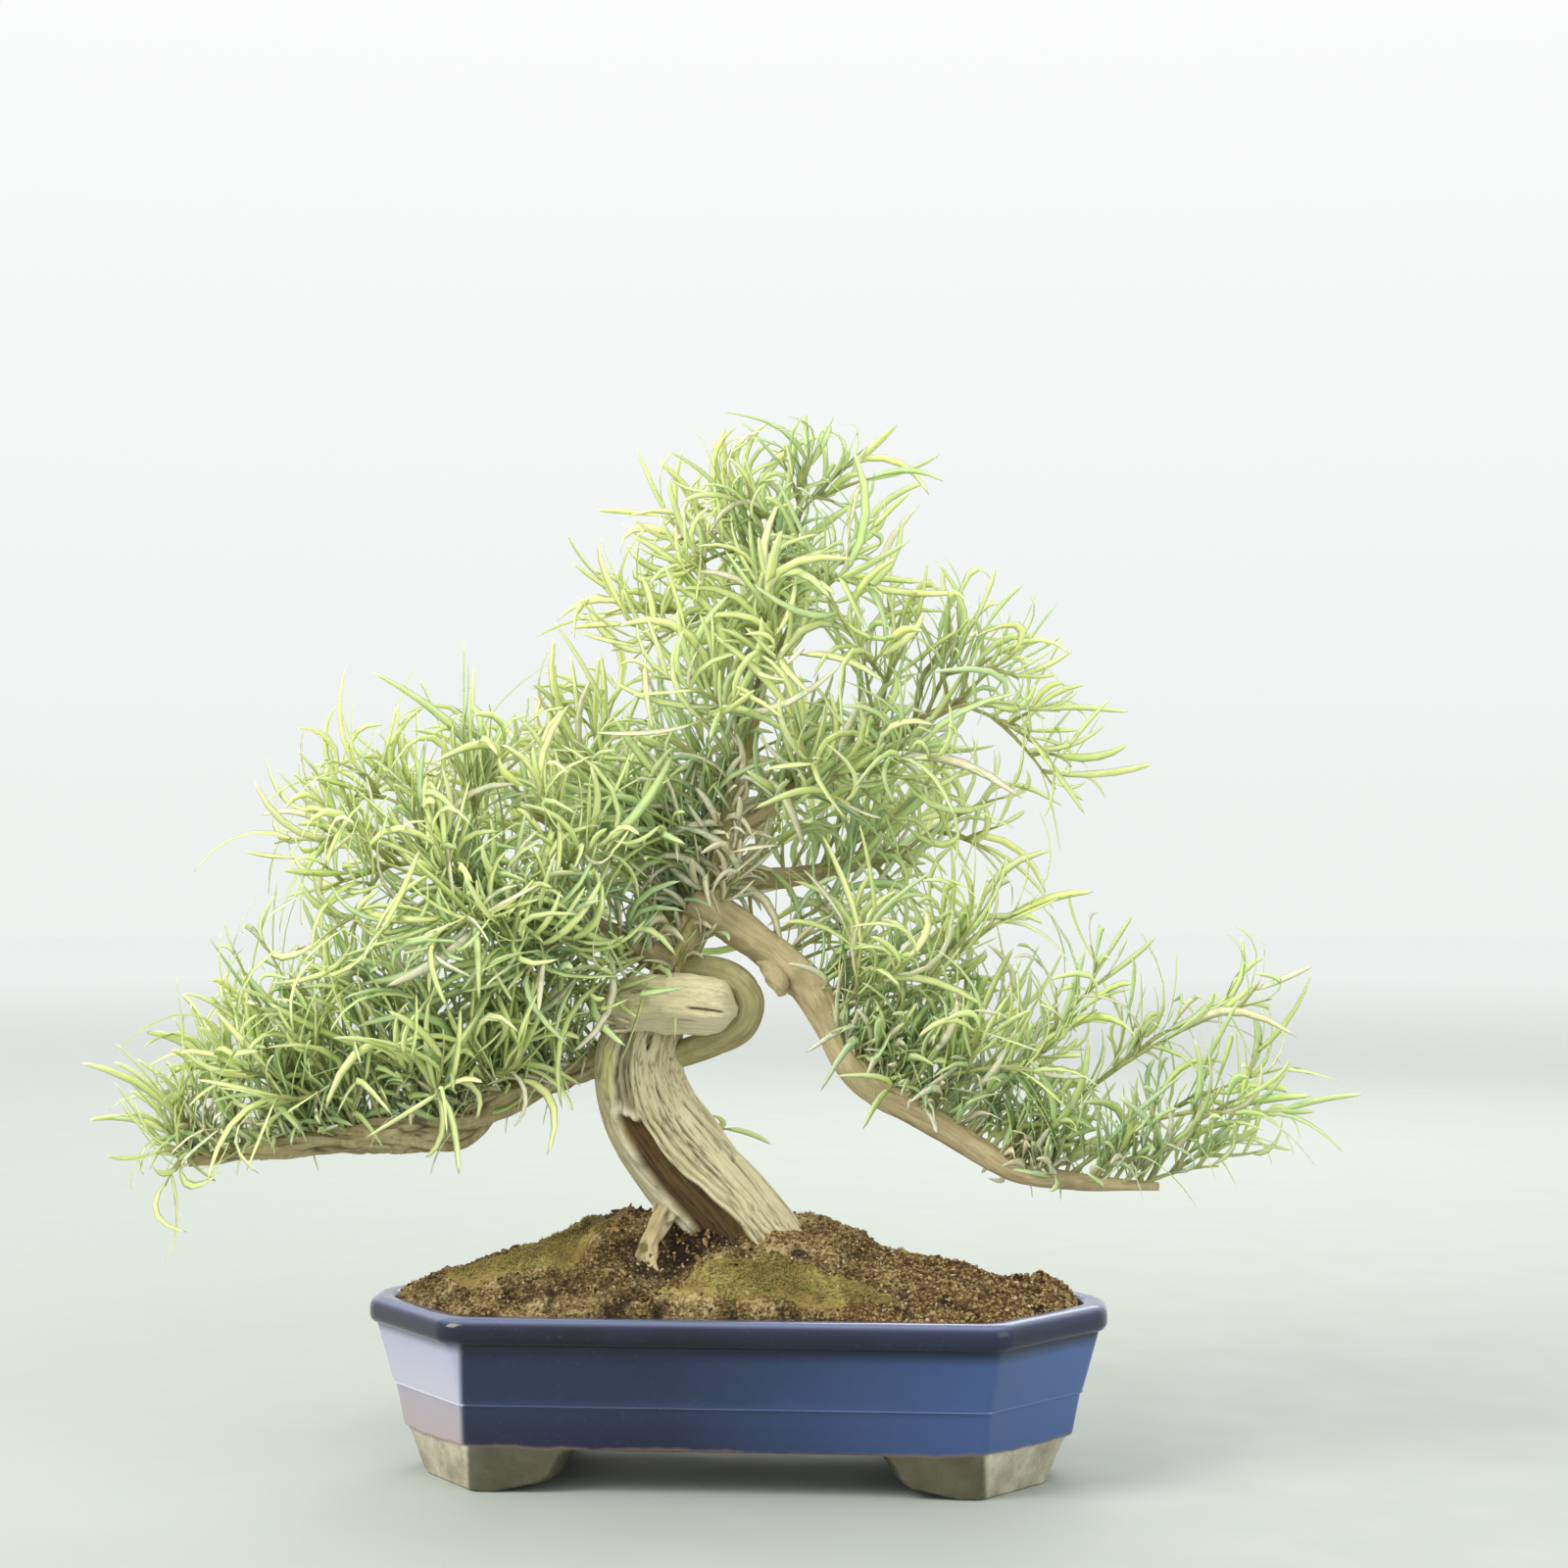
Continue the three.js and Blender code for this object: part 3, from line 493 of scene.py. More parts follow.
# %% Drain holes
for side in (-1, 1):
    bpy.ops.mesh.primitive_cylinder_add(vertices=48, radius=DRAIN_RADIUS / 1000, depth=0.04)
    drill = bpy.context.object
    drill.location = (POT_MIDDLE[0] + side * DRAIN_SPACING / 2000, POT_MIDDLE[1], 0.02)
    hole = pot.modifiers.new("drain_hole", "BOOLEAN")
    hole.operation = "DIFFERENCE"
    hole.solver = "FAST"
    hole.object = drill
    bpy.context.view_layer.objects.active = pot
    bpy.ops.object.modifier_apply(modifier=hole.name)
    bpy.data.objects.remove(drill)
print("pot drilled:", len(pot.data.polygons), "faces")

# %% [markdown]
# ## The netting over the drain holes
# The screens keep the shape that the frame gives them, and only get a finish: dull black moulded plastic with
# a faint grain.


# %% Netting
def netting_finish():
    """Two near blacks, mixed by a fine grain."""
    add, finish = new_material("black_netting")
    grain = speckle(add, coordinates(add), 0.0008)
    colour = tones(add, grain, (0.3, "17180f"), (0.7, "34362c"))
    rough = spread(add, grain, 0.3, 0.7, 0.5, 0.8)
    return finish(Base_Color=colour, Roughness=rough, Normal=relief(add, grain, 0.0001, 0.4))


netting = netting_finish()
for name in ("drain_screen_left", "drain_screen_right"):
    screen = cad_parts[name]
    screen.data.materials.clear()
    screen.data.materials.append(netting)
print("two screens finished")

# %% [markdown]
# ## The earth
# The mound is a surface over the pot's opening: a crest along the pot that fades out towards the walls, with
# a washed-out hollow under the leaning trunk. Its body is a closed loop of points across the pot, carried
# along the pot's length. Lumps at three sizes, from noise, make it crumbly before any bump in the finish.

# %% Sizes of the mound
SOIL_EDGE = POT_HEIGHT - 2
CREST_AT = [-1, -0.9, -0.75, -0.57, -0.45, -0.34, 0, 0.18, 0.27, 0.37, 0.51, 0.71, 0.88, 1]
CREST = [0, 8, 14, 22, 30, 34, 35, 32, 30, 24, 17, 12, 9, 1]
HOLLOW = np.array([-30, -26])
HOLLOW_DEPTH = 8
TRUNK_SHADE = np.array([-17, -19])
CLOD_SIZE = 22
CRUMB_SIZE = 6
PIT_SIZE = 9
rim_line = ring(RIM_INSET + 0.3, RIM_SOFTNESS)
back_line = rim_line[rim_line[:, 1] > 0]
back_line = back_line[np.argsort(back_line[:, 0])]


# %% The mound's height
def half_depth(x):
    """How far the pot's opening reaches to the front and to the back at a place along it."""
    return np.interp(x, back_line[:, 0], back_line[:, 1])


def smooth_soil(x, y):
    """Edge height + crest(x) × (1 - outwards^p) - a round hollow, where outwards is 0 on the middle line and
    1 at the pot's wall, and p is larger at the back, which makes that side fuller."""
    length, depth, along, across = half_sizes(RIM_INSET)
    past_corner = np.clip((np.abs(x) - length + along) / along, 0, 1)
    outwards = np.clip(np.abs(y) / (depth - across * past_corner), 0, 1)
    fade = 1 - outwards ** np.where(y < 0, 1.6, 2.5)
    from_hollow = np.hypot(x - HOLLOW[0], y - HOLLOW[1]) / 14
    crest = np.interp(x / length, CREST_AT, CREST)
    return SOIL_EDGE + crest * fade - HOLLOW_DEPTH * np.exp(-(from_hollow**2))


def soil_height(x, y):
    """The smooth mound with clods, crumbs and grains, all calmer within a few millimetres of the wall."""
    flat = np.stack([x, y, 0 * x], -1)
    calm = np.clip((half_depth(x) - np.abs(y)) / 6, 0.15, 1)
    long = flat / (1.8, 1, 1)
    clods = 2.2 * noise(flat, CLOD_SIZE, 1, 3) + 1.6 * noise(long, CRUMB_SIZE, 2, 3)
    clods = clods + 2.4 * smooth_step(noise(long, 15, 5, 2), 0.05, 0.3)
    pits = -3.0 * np.clip(noise(flat, PIT_SIZE, 3, 2) - 0.5, 0, 1)
    return smooth_soil(x, y) + calm * (clods + pits + 0.7 * noise(flat, 2.0, 4, 2))


# %% The mound's mesh
def mound_points():
    """Loops across the pot: the ground from front to back, down the back and forward along the bottom. They
    lean in towards the bottom with the pot's walls."""
    x = np.linspace(rim_line[:, 0].min(), rim_line[:, 0].max(), 330)[:, None]
    across = np.linspace(1, -1, 116)
    top = np.broadcast_to(x, (len(x), len(across)))
    y = half_depth(x) * across
    ground = np.stack([top, y, soil_height(top, y)], -1)
    reach = np.array([-1, -0.93, -0.88, 0.88, 0.93, 1])
    height = np.array([NECK, 40, CAVITY_FLOOR + 3, CAVITY_FLOOR + 3, 40, NECK])
    shorter = 1 - 0.14 * (NECK - height) / NECK
    hidden = np.stack(np.broadcast_arrays(x * shorter, half_depth(x) * reach, height), -1)
    return np.concatenate([ground, hidden], axis=1)


mound_grid = mound_points()
print("mound from", round(mound_grid[..., 2].min()), "to", round(mound_grid[..., 2].max()), "mm")


# %% Earth finish
def earth_finish(name, dark, mid, light, grain):
    """Earth, grit or moss: clouds of colour, darker in the pits, with pale and dark specks."""
    add, finish = new_material(name, Specular_IOR_Level=0.25)
    where = coordinates(add)
    clouds = speckle(add, where, 0.02, detail=8.0, rough=0.65)
    specks = speckle(add, where, grain, detail=6.0, rough=0.7)
    both = reckoned(add, clouds, "ADD", specks)
    ground = tones(add, spread(add, both, 0.75, 1.25), (0.1, dark), (0.45, mid), (0.8, light))
    return add, finish, where, ground, specks


def soil_finish():
    """Earth that turns rusty to the right, dark where the shade mark is, with pale crumbs at the middles of
    small cells."""
    add, finish, where, ground, specks = earth_finish("mossy_earth", "281e0e", "75613a", "ccb683", 0.0016)
    rusty = tones(add, spread(add, specks, 0.3, 0.7), (0.05, "261a0e"), (0.5, "694c2b"), (0.95, "b08e5a"))
    clouds = speckle(add, where, 0.035)
    to_the_right = spread(add, part_of(add, where, "X"), 0.02, 0.11)
    wander = spread(add, clouds, 0.3, 0.7, -0.4, 0.4)
    ground = mixed(add, reckoned(add, to_the_right, "ADD", wander, use_clamp=True), ground, rusty)
    ground = mixed(add, mark(add, "shade"), ground, tone("1c150c"))
    cells = add("TexVoronoi", inputs={"Vector": where, "Scale": 700.0})
    pale = mixed(add, spread(add, cells, 0.12, 0.05, 0.0, 0.5), ground, tone("d0bf8e"))
    height = reckoned(add, specks, "SUBTRACT", cells)
    rough = spread(add, specks, 0.3, 0.7, 0.98, 0.8)
    return finish(Base_Color=pale, Roughness=rough, Normal=relief(add, height, 0.0016, 1.0))


soil_material = soil_finish()
flat = mound_grid[..., :2]
in_hollow = np.linalg.norm(flat - HOLLOW, axis=-1) / 13
under_trunk = np.linalg.norm((flat - TRUNK_SHADE) / (1, 1.2), axis=-1)
pits = noise(np.concatenate([flat, 0 * flat[..., :1]], -1), PIT_SIZE, 3, 2)
gap = half_depth(flat[..., 0]) - np.abs(flat[..., 1])
# Painted shade: darker in the hollow, under the trunk, in the pits and along the pot's wall.
shades = [
    0.85 * np.exp(-(in_hollow**2)),
    0.97 * smooth_step(under_trunk, 14, 8),
    0.8 * smooth_step(pits, 0.45, 0.8),
    0.7 * np.exp(-((gap / 1.6) ** 2)),
]
shade = np.append(np.maximum.reduce(shades).ravel(), [0, 0])
add_piece("soil_mound", closed_grid(mound_grid), "soil", soil_material, ["soil"], shade=shade)

# %% [markdown]
# ## Grit, crumbs and chips
# Loose grains catch the light where a smooth surface can't. Each is the same twenty-faced ball, stretched and
# knocked out of shape, and pressed a little into the ground. Chips of bark are the same ball, drawn long and
# flat. Each grain carries one random number that picks its colour.


# %% Scattered grains
BALL_POINTS = 12


def ball():
    """The twelve corners of an icosahedron, and its twenty faces."""
    g = (1 + 5**0.5) / 2
    points = [(-1, g, 0), (1, g, 0), (-1, -g, 0), (1, -g, 0), (0, -1, g), (0, 1, g),
              (0, -1, -g), (0, 1, -g), (g, 0, -1), (g, 0, 1), (-g, 0, -1), (-g, 0, 1)]
    faces = [(0, 11, 5), (0, 5, 1), (0, 1, 7), (0, 7, 10), (0, 10, 11), (1, 5, 9), (5, 11, 4), (11, 10, 2),
             (10, 7, 6), (7, 1, 8), (3, 9, 4), (3, 4, 2), (3, 2, 6), (3, 6, 8), (3, 8, 9), (4, 9, 5),
             (2, 4, 11), (6, 2, 10), (8, 6, 7), (9, 8, 1)]
    return unit(np.array(points, float)), [np.array(faces)]


def turned(rng, count):
    """Random turns as a stack of three perpendicular unit vectors each."""
    one = unit(rng.normal(size=(count, 3)))
    two = unit(np.cross(one, rng.normal(size=(count, 3))))
    return np.stack([one, two, np.cross(one, two)], 1)


def grains(rng, x, y, sizes, flatness, lift=0.2):
    """A ball at each place: corner = place + turn · (size × shape × a jittered corner of the ball)."""
    points, faces = ball()
    count = len(x)
    jitter = points * rng.uniform(0.75, 1.15, (count, len(points), 1))
    shaped = jitter * (np.array(flatness) * sizes[:, None])[:, None]
    middles = np.stack([x, y, soil_height(x, y) + lift * sizes], -1)[:, None]
    return repeated(middles + shaped @ turned(rng, count), faces)


def places(rng, count, middle=(0, 0), reach=(1, 1)):
    """Random places on the mound: shares of its half length and half depth."""
    u = np.clip(middle[0] + reach[0] * rng.uniform(-1, 1, count), -0.985, 0.985)
    v = np.clip(middle[1] + reach[1] * rng.uniform(-1, 1, count), -0.97, 0.97)
    x = u * back_line[:, 0].max()
    return x, v * half_depth(x)


# %% Grit
def grit_finish():
    """One of six colours for each grain, by its own number, darker in the speckles."""
    add, finish = new_material("loose_grit", Specular_IOR_Level=0.3)
    where = coordinates(add)
    grain = speckle(add, where, 0.0007)
    colour = tones(add, mark(add, "pick"), (0.05, "3b2c1c"), (0.3, "73593a"), (0.5, "96804e"),
                   (0.75, "ad9a66"), (0.9, "8f6a42"), (0.99, "cfc19c"))
    colour = mixed(add, spread(add, grain, 0.4, 0.8, 0.0, 0.5), colour, tone("4a3a22"))
    rough = spread(add, grain, 0.3, 0.7, 0.95, 0.8)
    return finish(Base_Color=colour, Roughness=rough, Normal=relief(add, grain, 0.0002, 0.5))


GRAINS = 5200
MORE_TO_THE_RIGHT = 2200
rng = np.random.default_rng(11)
right_part = ((0.62, 0), (0.36, 1))
x, y = np.concatenate([places(rng, GRAINS), places(rng, MORE_TO_THE_RIGHT, *right_part)], axis=1)
sizes = rng.uniform(0.35, 0.85, len(x)) * np.where(x > 60, 1.25, 1.0)
grit = grains(rng, x, y, sizes, (1.2, 1.0, 0.8))
grit_material = grit_finish()
add_piece("soil_grit", grit, "soil", grit_material, crisp=30,
          pick=np.repeat(rng.random(len(x)), BALL_POINTS))

# %% Bark chips round the roots
CHIPS = 260
x, y = places(rng, CHIPS, (-0.17, -0.35), (0.24, 0.5))
chips = grains(rng, x, y, rng.uniform(0.7, 1.7, len(x)), (1.5, 0.7, 0.3), lift=0.35)
pick = np.repeat(rng.uniform(0.05, 0.6, len(x)), BALL_POINTS)
add_piece("bark_chips", chips, "soil", grit_material, crisp=30, pick=pick)

# %% [markdown]
# ## Moss
# A cushion of moss is a low dome with a wavy edge, lumpy on top, and thousands of tiny upright leaflets give
# it its nap. A leaflet is a three-sided spike, so it has four faces. All of them together follow one formula.

# %% Sizes of the moss
MOSS = {
    "moss_left": (-0.61, -0.1, 0.25, 0.4, 5),
    "moss_front": (0.15, -0.72, 0.32, 0.17, 4),
    "moss_back": (0.2, 0.6, 0.33, 0.25, 6),
}
MOSS_THICKNESS = 2.2
LEAFLETS = 4200


# %% Cushions and leaflets
def cushion(x, y, along, across, lobes):
    """Rings from the edge to the middle: place = middle + share × reach(turn), height = ground + a quarter
    circle over the share, so that the edge rounds down into the ground."""
    turn = np.linspace(0, 2 * np.pi, 121)[:-1]
    reach = 1 + 0.1 * np.sin(lobes * turn) + 0.07 * np.cos((lobes + 2) * turn + 1)
    reach = reach + 0.05 * noise(np.stack([np.cos(turn), np.sin(turn), 0 * turn], -1), 0.25, lobes)
    share = np.array([0.97, 1, 0.99, 0.96, 0.92, *np.linspace(0.86, 0.03, 26)])[:, None]
    length, depth = half_sizes(RIM_INSET)[:2]
    u = (x + along * reach * share * np.cos(turn)) * length
    v = (y + across * reach * share * np.sin(turn)) * depth
    v = np.clip(v, -half_depth(u) + 0.6, half_depth(u) - 0.6)
    dome = np.sqrt(np.clip(1 - share**8, 0, 1)) * MOSS_THICKNESS * 0.7
    dome[:2] = -1.5
    lumps = 1.3 * np.clip(noise(np.stack([u, v, 0 * u], -1), 5, 8, 3), -1, 1) * (dome > 0.3)
    return np.stack([u, v, soil_height(u, v) + dome + lumps], -1)


def leaflets(rng, roots, size):
    """A spike at each root: three corners round it and a tip that leans away from upright."""
    count = len(roots)
    turn = rng.uniform(0, 2 * np.pi, (count, 1)) + np.arange(3) * 2 * np.pi / 3
    base = np.stack([np.cos(turn), np.sin(turn), 0 * turn], -1) * 0.22 * size[:, None, None]
    tip = rng.normal(0, 0.35, (count, 3)) * size[:, None]
    tip[:, 2] = size * rng.uniform(0.7, 1.3, count)
    points = np.concatenate([base, tip[:, None]], 1) + roots[:, None]
    return repeated(points, [np.array([(0, 2, 1), (0, 1, 3), (1, 2, 3), (2, 0, 3)])])


def moss_finish():
    """Olive earth with dry brown clouds, and pale tips on the leaflets."""
    add, finish, where, ground, specks = earth_finish("dry_moss", "302911", "6f6534", "a89a5c", 0.0012)
    dry = mixed(add, spread(add, speckle(add, where, 0.012), 0.42, 0.6, 0.0, 0.8), ground, tone("86713f"))
    tips = mixed(add, mark(add, "tip"), dry, tone("bdb06c"))
    rough = spread(add, specks, 0.3, 0.7, 1.0, 0.85)
    return finish(Base_Color=tips, Roughness=rough, Normal=relief(add, specks, 0.0006, 0.8))


moss_material = moss_finish()
for number, (name, patch) in enumerate(MOSS.items()):
    rng = np.random.default_rng(20 + number)
    grid = cushion(*patch)
    points, faces = closed_grid(grid)
    roots = grid[6:].reshape(-1, 3)
    roots = roots[rng.integers(len(roots), size=LEAFLETS)] + rng.normal(0, 0.5, (LEAFLETS, 3)) * (1, 1, 0)
    nap = leaflets(rng, roots - (0, 0, 0.2), rng.uniform(0.7, 1.5, len(roots)))
    tip = np.append(np.zeros(len(points)), np.tile([0, 0, 0, 0.8], len(roots)))
    add_piece(name + "_cushion", joined([(points, faces), nap]), "moss", moss_material, [name], tip=tip)

# %% [markdown]
# ## Wood
# A limb is a tube: its middle line runs smoothly through a few stated points, and its radius changes with the
# place along it and the angle round it. Driftwood gets deep, narrow grooves that run with the grain. They
# come from noise in the limb's own round, stretched coordinates, so the pattern follows each bend and has no
# seam. The same numbers are stored at the points, and the finish reads them for its streaks. A mark of the
# grooves darkens them in the finish: painted shade.

# %% The limbs
LIMBS = {
    "trunk": [[30, 2, -20, 25], [17, 1, 6, 22.5], [-2, -1, 34, 20], [-22, -3, 56, 20], [-36, -4, 75, 19],
              [-42, -3, 95, 17], [-39, 1, 113, 15.5], [-31, 5, 130, 13.5]],
    "leader": [[-34, 4, 121, 12], [-20, 5, 153, 11], [-9, 3, 174, 9.5], [-4, 1, 195, 7.5], [1, 0, 217, 5.8],
               [7, -2, 243, 4.5], [15, -2, 276, 3.4], [22, 0, 308, 2.6], [27, 2, 332, 1.8]],
    "right_branch": [[-18, 4, 166, 8.6], [3, 1, 153, 8.3], [17, -1, 143, 8.1], [30, -3, 131, 8],
                     [39, -5, 116, 7.2], [47, -7, 100, 7], [60, -9, 87, 6.5], [81, -11, 76, 6],
                     [101, -13, 64, 5.4], [118, -14, 55, 4.6], [142, -14, 51, 3.4], [176, -12, 49, 1.6]],
    "left_branch": [[-40, 0, 106, 7], [-68, -5, 94, 5.6], [-84, -9, 89, 5.6], [-101, -13, 81, 6.2],
                    [-116, -16, 72, 7.4], [-134, -18, 70, 7], [-158, -19, 67, 6], [-183, -17, 64, 4.6],
                    [-214, -13, 59, 3], [-232, -10, 55, 2]],
    "upper_left_branch": [[-28, 3, 138, 6], [-50, -8, 151, 5.4], [-80, -14, 161, 4.5], [-112, -16, 175, 3.4],
                          [-145, -14, 189, 2.2]],
    "back_left_branch": [[-14, 4, 163, 5.5], [-36, 24, 179, 4.8], [-64, 38, 193, 3.8], [-95, 46, 203, 2.4]],
    "upper_right_branch": [[-4, 1, 195, 5], [18, 6, 209, 4.3], [44, 8, 223, 3.5], [72, 6, 239, 2.7],
                           [96, 2, 251, 2]],
    "back_right_branch": [[-10, 3, 173, 5], [12, 22, 175, 4.3], [40, 36, 179, 3.4], [72, 44, 187, 2.3]],
    "jin_stub": [[-58, -12, 122, 6], [-44, -14, 123, 11], [-28, -16, 124, 12.5], [-12, -18, 123, 12.5],
                 [2, -18, 121, 9.5]],
    "live_vein": [[-34, 2, 98, 6], [-12, -4, 106, 6.4], [2, -8, 113, 6.6], [6.2, -8, 124, 6.6],
                  [0, -6, 133, 6.2], [-10, -3, 137, 5.8], [-22, 2, 138, 5.4]],
    "surface_root": [[-26, -7, 42, 5], [-32, -15, 31, 4.4], [-37, -21, 19, 3.8], [-42, -26, 3, 3.4]],
}


# %% Smooth paths
def path(rows, shares):
    """A smooth line through rows of numbers: on each stretch the cubic that meets its two rows, with a slope
    at each row of half the step between its neighbours. shares run from 0 to 1, one row after another."""
    rows = np.asarray(rows, float)
    slopes = np.gradient(rows, axis=0)
    place = np.asarray(shares, float) * (len(rows) - 1)
    i = np.clip(place.astype(int), 0, len(rows) - 2)
    t = (place - i)[..., None]
    start, end, out, into = rows[i], rows[i + 1], slopes[i], slopes[i + 1]
    return ((2 * t**3 - 3 * t**2 + 1) * start + (t**3 - 2 * t**2 + t) * out
            + (3 * t**2 - 2 * t**3) * end + (t**3 - t**2) * into)


def even_shares(rows, step):
    """Shares that are the same distance apart along a path, at least the step, and the path's length."""
    fine = np.linspace(0, 1, 400)
    walked = np.append(0, np.cumsum(np.linalg.norm(np.diff(path(rows, fine)[:, :3], axis=0), axis=1)))
    return np.interp(np.linspace(0, walked[-1], max(6, int(walked[-1] / step))), walked, fine), walked[-1]


def frame_along(middles):
    """Three unit vectors at each point of a line: ahead along it, one to the back, and one square to both."""
    ahead = unit(np.gradient(middles, axis=-2))
    back = np.array([0.0, 1.0, 0.0])
    back = unit(back - ahead * (ahead @ back)[..., None])
    return ahead, back, np.cross(ahead, back)


# %% A limb as a surface
def limb(rows, step, sides, form, lift=POT_HEIGHT):
    """Point(s, turn) = middle(s) + radius(s, turn) (cos turn · back + sin turn · left). The form function
    gives the radius, and a mark for each point, from the row of numbers, the turn and the grain coordinates
    (radius · cos turn, radius · sin turn, way along)."""
    shares, length = even_shares(rows, step)
    table = path(rows, shares)
    middles, radius = table[:, :3] + (0, 0, lift), table[:, 3:]
    _, back, left = frame_along(middles)
    turn = np.linspace(0, 2 * np.pi, sides + 1)[None, :-1]
    along = np.linspace(0, length, len(shares))[:, None]
    grain = np.stack(np.broadcast_arrays(radius * np.cos(turn), radius * np.sin(turn), along), -1)
    reach, marks = form(shares[:, None], turn, radius, grain)
    outwards = np.cos(turn)[..., None] * back[:, None] + np.sin(turn)[..., None] * left[:, None]
    points = middles[:, None] + reach[..., None] * outwards
    return points, grain, marks


def grooves(grain, size, stretch, seed, sharpness):
    """Narrow cracks along the grain: exp(-(n / sharpness)²) is 1 where the stretched noise n passes 0."""
    n = noise(grain / (1, 1, stretch), size, seed, 3)
    return np.exp(-((n / sharpness) ** 2))


# %% Driftwood finish
def wood_finish(name, pale, mid, dark, deep, rough_low=0.6, fine=1.0):
    """Streaks along the grain in three tones, with painted shade in the grooves. Reads the marks grain and
    groove, the second for the painted shade.
    """
    add, finish = new_material(name, Specular_IOR_Level=0.3)
    grain = mark(add, "grain", "Vector")
    long = add("Mapping", inputs={"Vector": grain, "Scale": (1.0, 1.0, 0.07)})
    streaks = add("TexNoise", inputs={"Vector": long, "Scale": 0.55 * fine, "Detail": 8.0, "Roughness": 0.65})
    fibres = add("TexNoise", inputs={"Vector": long, "Scale": 3.2 * fine, "Detail": 5.0, "Roughness": 0.7})
    patches = speckle(add, coordinates(add), 0.018, detail=3.0)
    colour = tones(add, spread(add, streaks, 0.3, 0.7), (0.05, mid), (0.45, pale), (0.95, mid))
    colour = mixed(add, spread(add, fibres, 0.5, 0.85, 0.0, 0.75), colour, tone(dark))
    colour = mixed(add, spread(add, patches, 0.45, 0.7, 0.0, 0.4), colour, tone(mid))
    # Painted shade: the grooves darken to the deepest tone.
    colour = mixed(add, mark(add, "groove"), colour, tone(deep))
    height = reckoned(add, fibres, "ADD", streaks)
    rough = spread(add, fibres, 0.3, 0.7, rough_low, 0.9)
    return add, finish, colour, height, rough


def driftwood_finish():
    """Streaked wood, brown where the split face is marked, with painted shade of its recess in that brown,
    bleached and lemon where those marks are.
    """
    add, finish, colour, height, rough = wood_finish("driftwood", "ebe2bc", "cbbe90", "96875a", "4c3e20")
    # Brown wood, darkened by the painted shade of the split face's recess.
    brown_and_shaded = mixed(add, spread(add, height, 0.85, 1.2), tone("34230a"), tone("6d5020"))
    marked_wood = mixed(add, mark(add, "brown"), colour, brown_and_shaded)
    marked_wood = mixed(add, mark(add, "bleach"), marked_wood, tone("f3ecd0"))
    marked_wood = mixed(add, mark(add, "lemon"), marked_wood, tone("e3dd93"))
    return finish(Base_Color=marked_wood, Roughness=rough, Normal=relief(add, height, 0.0007, 0.8))


driftwood = driftwood_finish()
print("driftwood finish ready")


# %% [markdown]
# ## The trunk
# The trunk leans to the left and stands up under its broken stub. A slab has split off its lower front and
# left a recessed face between a pale strip at the left edge and the grooved wood on the right. The face is
# dark
# brown: brown wood with painted shade of the recess in it. In the formula that is a flat-bottomed dent, whose
# mask runs along the trunk at a fixed angle.


# %% Trunk
def trunk_form(share, turn, radius, grain):
    """Radius × a slightly flat, ribbed section - grooves - the dent of the split face. The dent opens wider
    round the trunk towards the foot, where only a thin pale lip is left beside it. Ridges follow its right
    edge, and the trunk's left shoulder is broken off at the top."""
    wavy = turn + 0.1 * noise(grain, 14, 30, 2)
    section = 1 + 0.06 * np.cos(2 * (turn + 2.2 * share)) + 0.04 * np.cos(5 * (turn + 2.2 * share))
    flare = 1 + 0.16 * smooth_step(share, 0.22, 0.0) * (1 + 0.6 * np.cos(7 * turn + 1))
    bend = 1.3 * noise(grain / (1, 1, 4), 9, 31, 2)
    cracks = grooves(grain, 4.4, 15, 32, 0.055) * 1.5 + grooves(grain, 2.1, 18, 33, 0.08) * 0.9
    down = smooth_step(share, 0.6, 0.15)
    left, right = 2.56 - 0.5 * down, 3.02 + 0.33 * down
    top = 0.6 - 0.015 * np.sin(9 * turn)
    split = smooth_step(wavy, left, left + 0.06) * smooth_step(wavy, right + 0.05, right - 0.03)
    above = split * smooth_step(share, top, top + 0.03) * smooth_step(share, 0.97, 0.75)
    split = split * smooth_step(share, top, top - 0.012) * smooth_step(share, 0.0, 0.05)
    beside = smooth_step(wavy, right, right + 0.1) * smooth_step(wavy, right + 0.75, right + 0.3)
    beside = beside * smooth_step(share, 0.66, 0.55)
    ridges = beside * 0.8 * np.sin(34 * (wavy - right))
    shoulder = smooth_step(share, 0.78, 0.84) * np.exp(-(((turn - 1.5) / 0.9) ** 2))
    cracks = cracks * (1 - 0.5 * split) + 0.6 * above * grooves(grain, 2.4, 20, 34, 0.2)
    reach = radius * section * flare + bend + ridges - cracks - 4.4 * split - 1.6 * above - 4 * shoulder
    lip = smooth_step(wavy, left - 0.3, left - 0.12) * smooth_step(wavy, left + 0.03, left - 0.03)
    lip = lip * smooth_step(share, 0.62, 0.5)
    cap = smooth_step(wavy, left - 0.15, left) * smooth_step(wavy, right, right - 0.1)
    cap = cap * np.exp(-(((share - top - 0.012) / 0.012) ** 2))
    lemon = smooth_step(np.abs(share - 0.715 + 0.1 * (turn - 2.42)), 0.055, 0.04)
    lemon = lemon * smooth_step(np.abs(wavy - 2.42), 0.17, 0.1)
    foot = smooth_step(share, 0.2, 0.08) * smooth_step(wavy, 1.9, 2.3)
    # groove: painted shade in the cracks and between the ridges. brown: brown wood at the foot and above the
    # split, and brown wood with painted shade in the split face's recess.
    marks = {
        "groove": np.clip(np.clip(cracks / 1.9, 0, 1) + 0.55 * np.clip(-ridges, 0, 1), 0, 1),
        "brown": np.clip(np.maximum(0.95 * split + 0.4 * above, 0.75 * foot), 0, 1),
        "bleach": np.clip(0.45 * lip + 0.7 * cap, 0, 1),
        "lemon": 0.8 * lemon,
    }
    return reach + 0.6 * lip + 1.4 * cap + 0.8 * lemon, marks


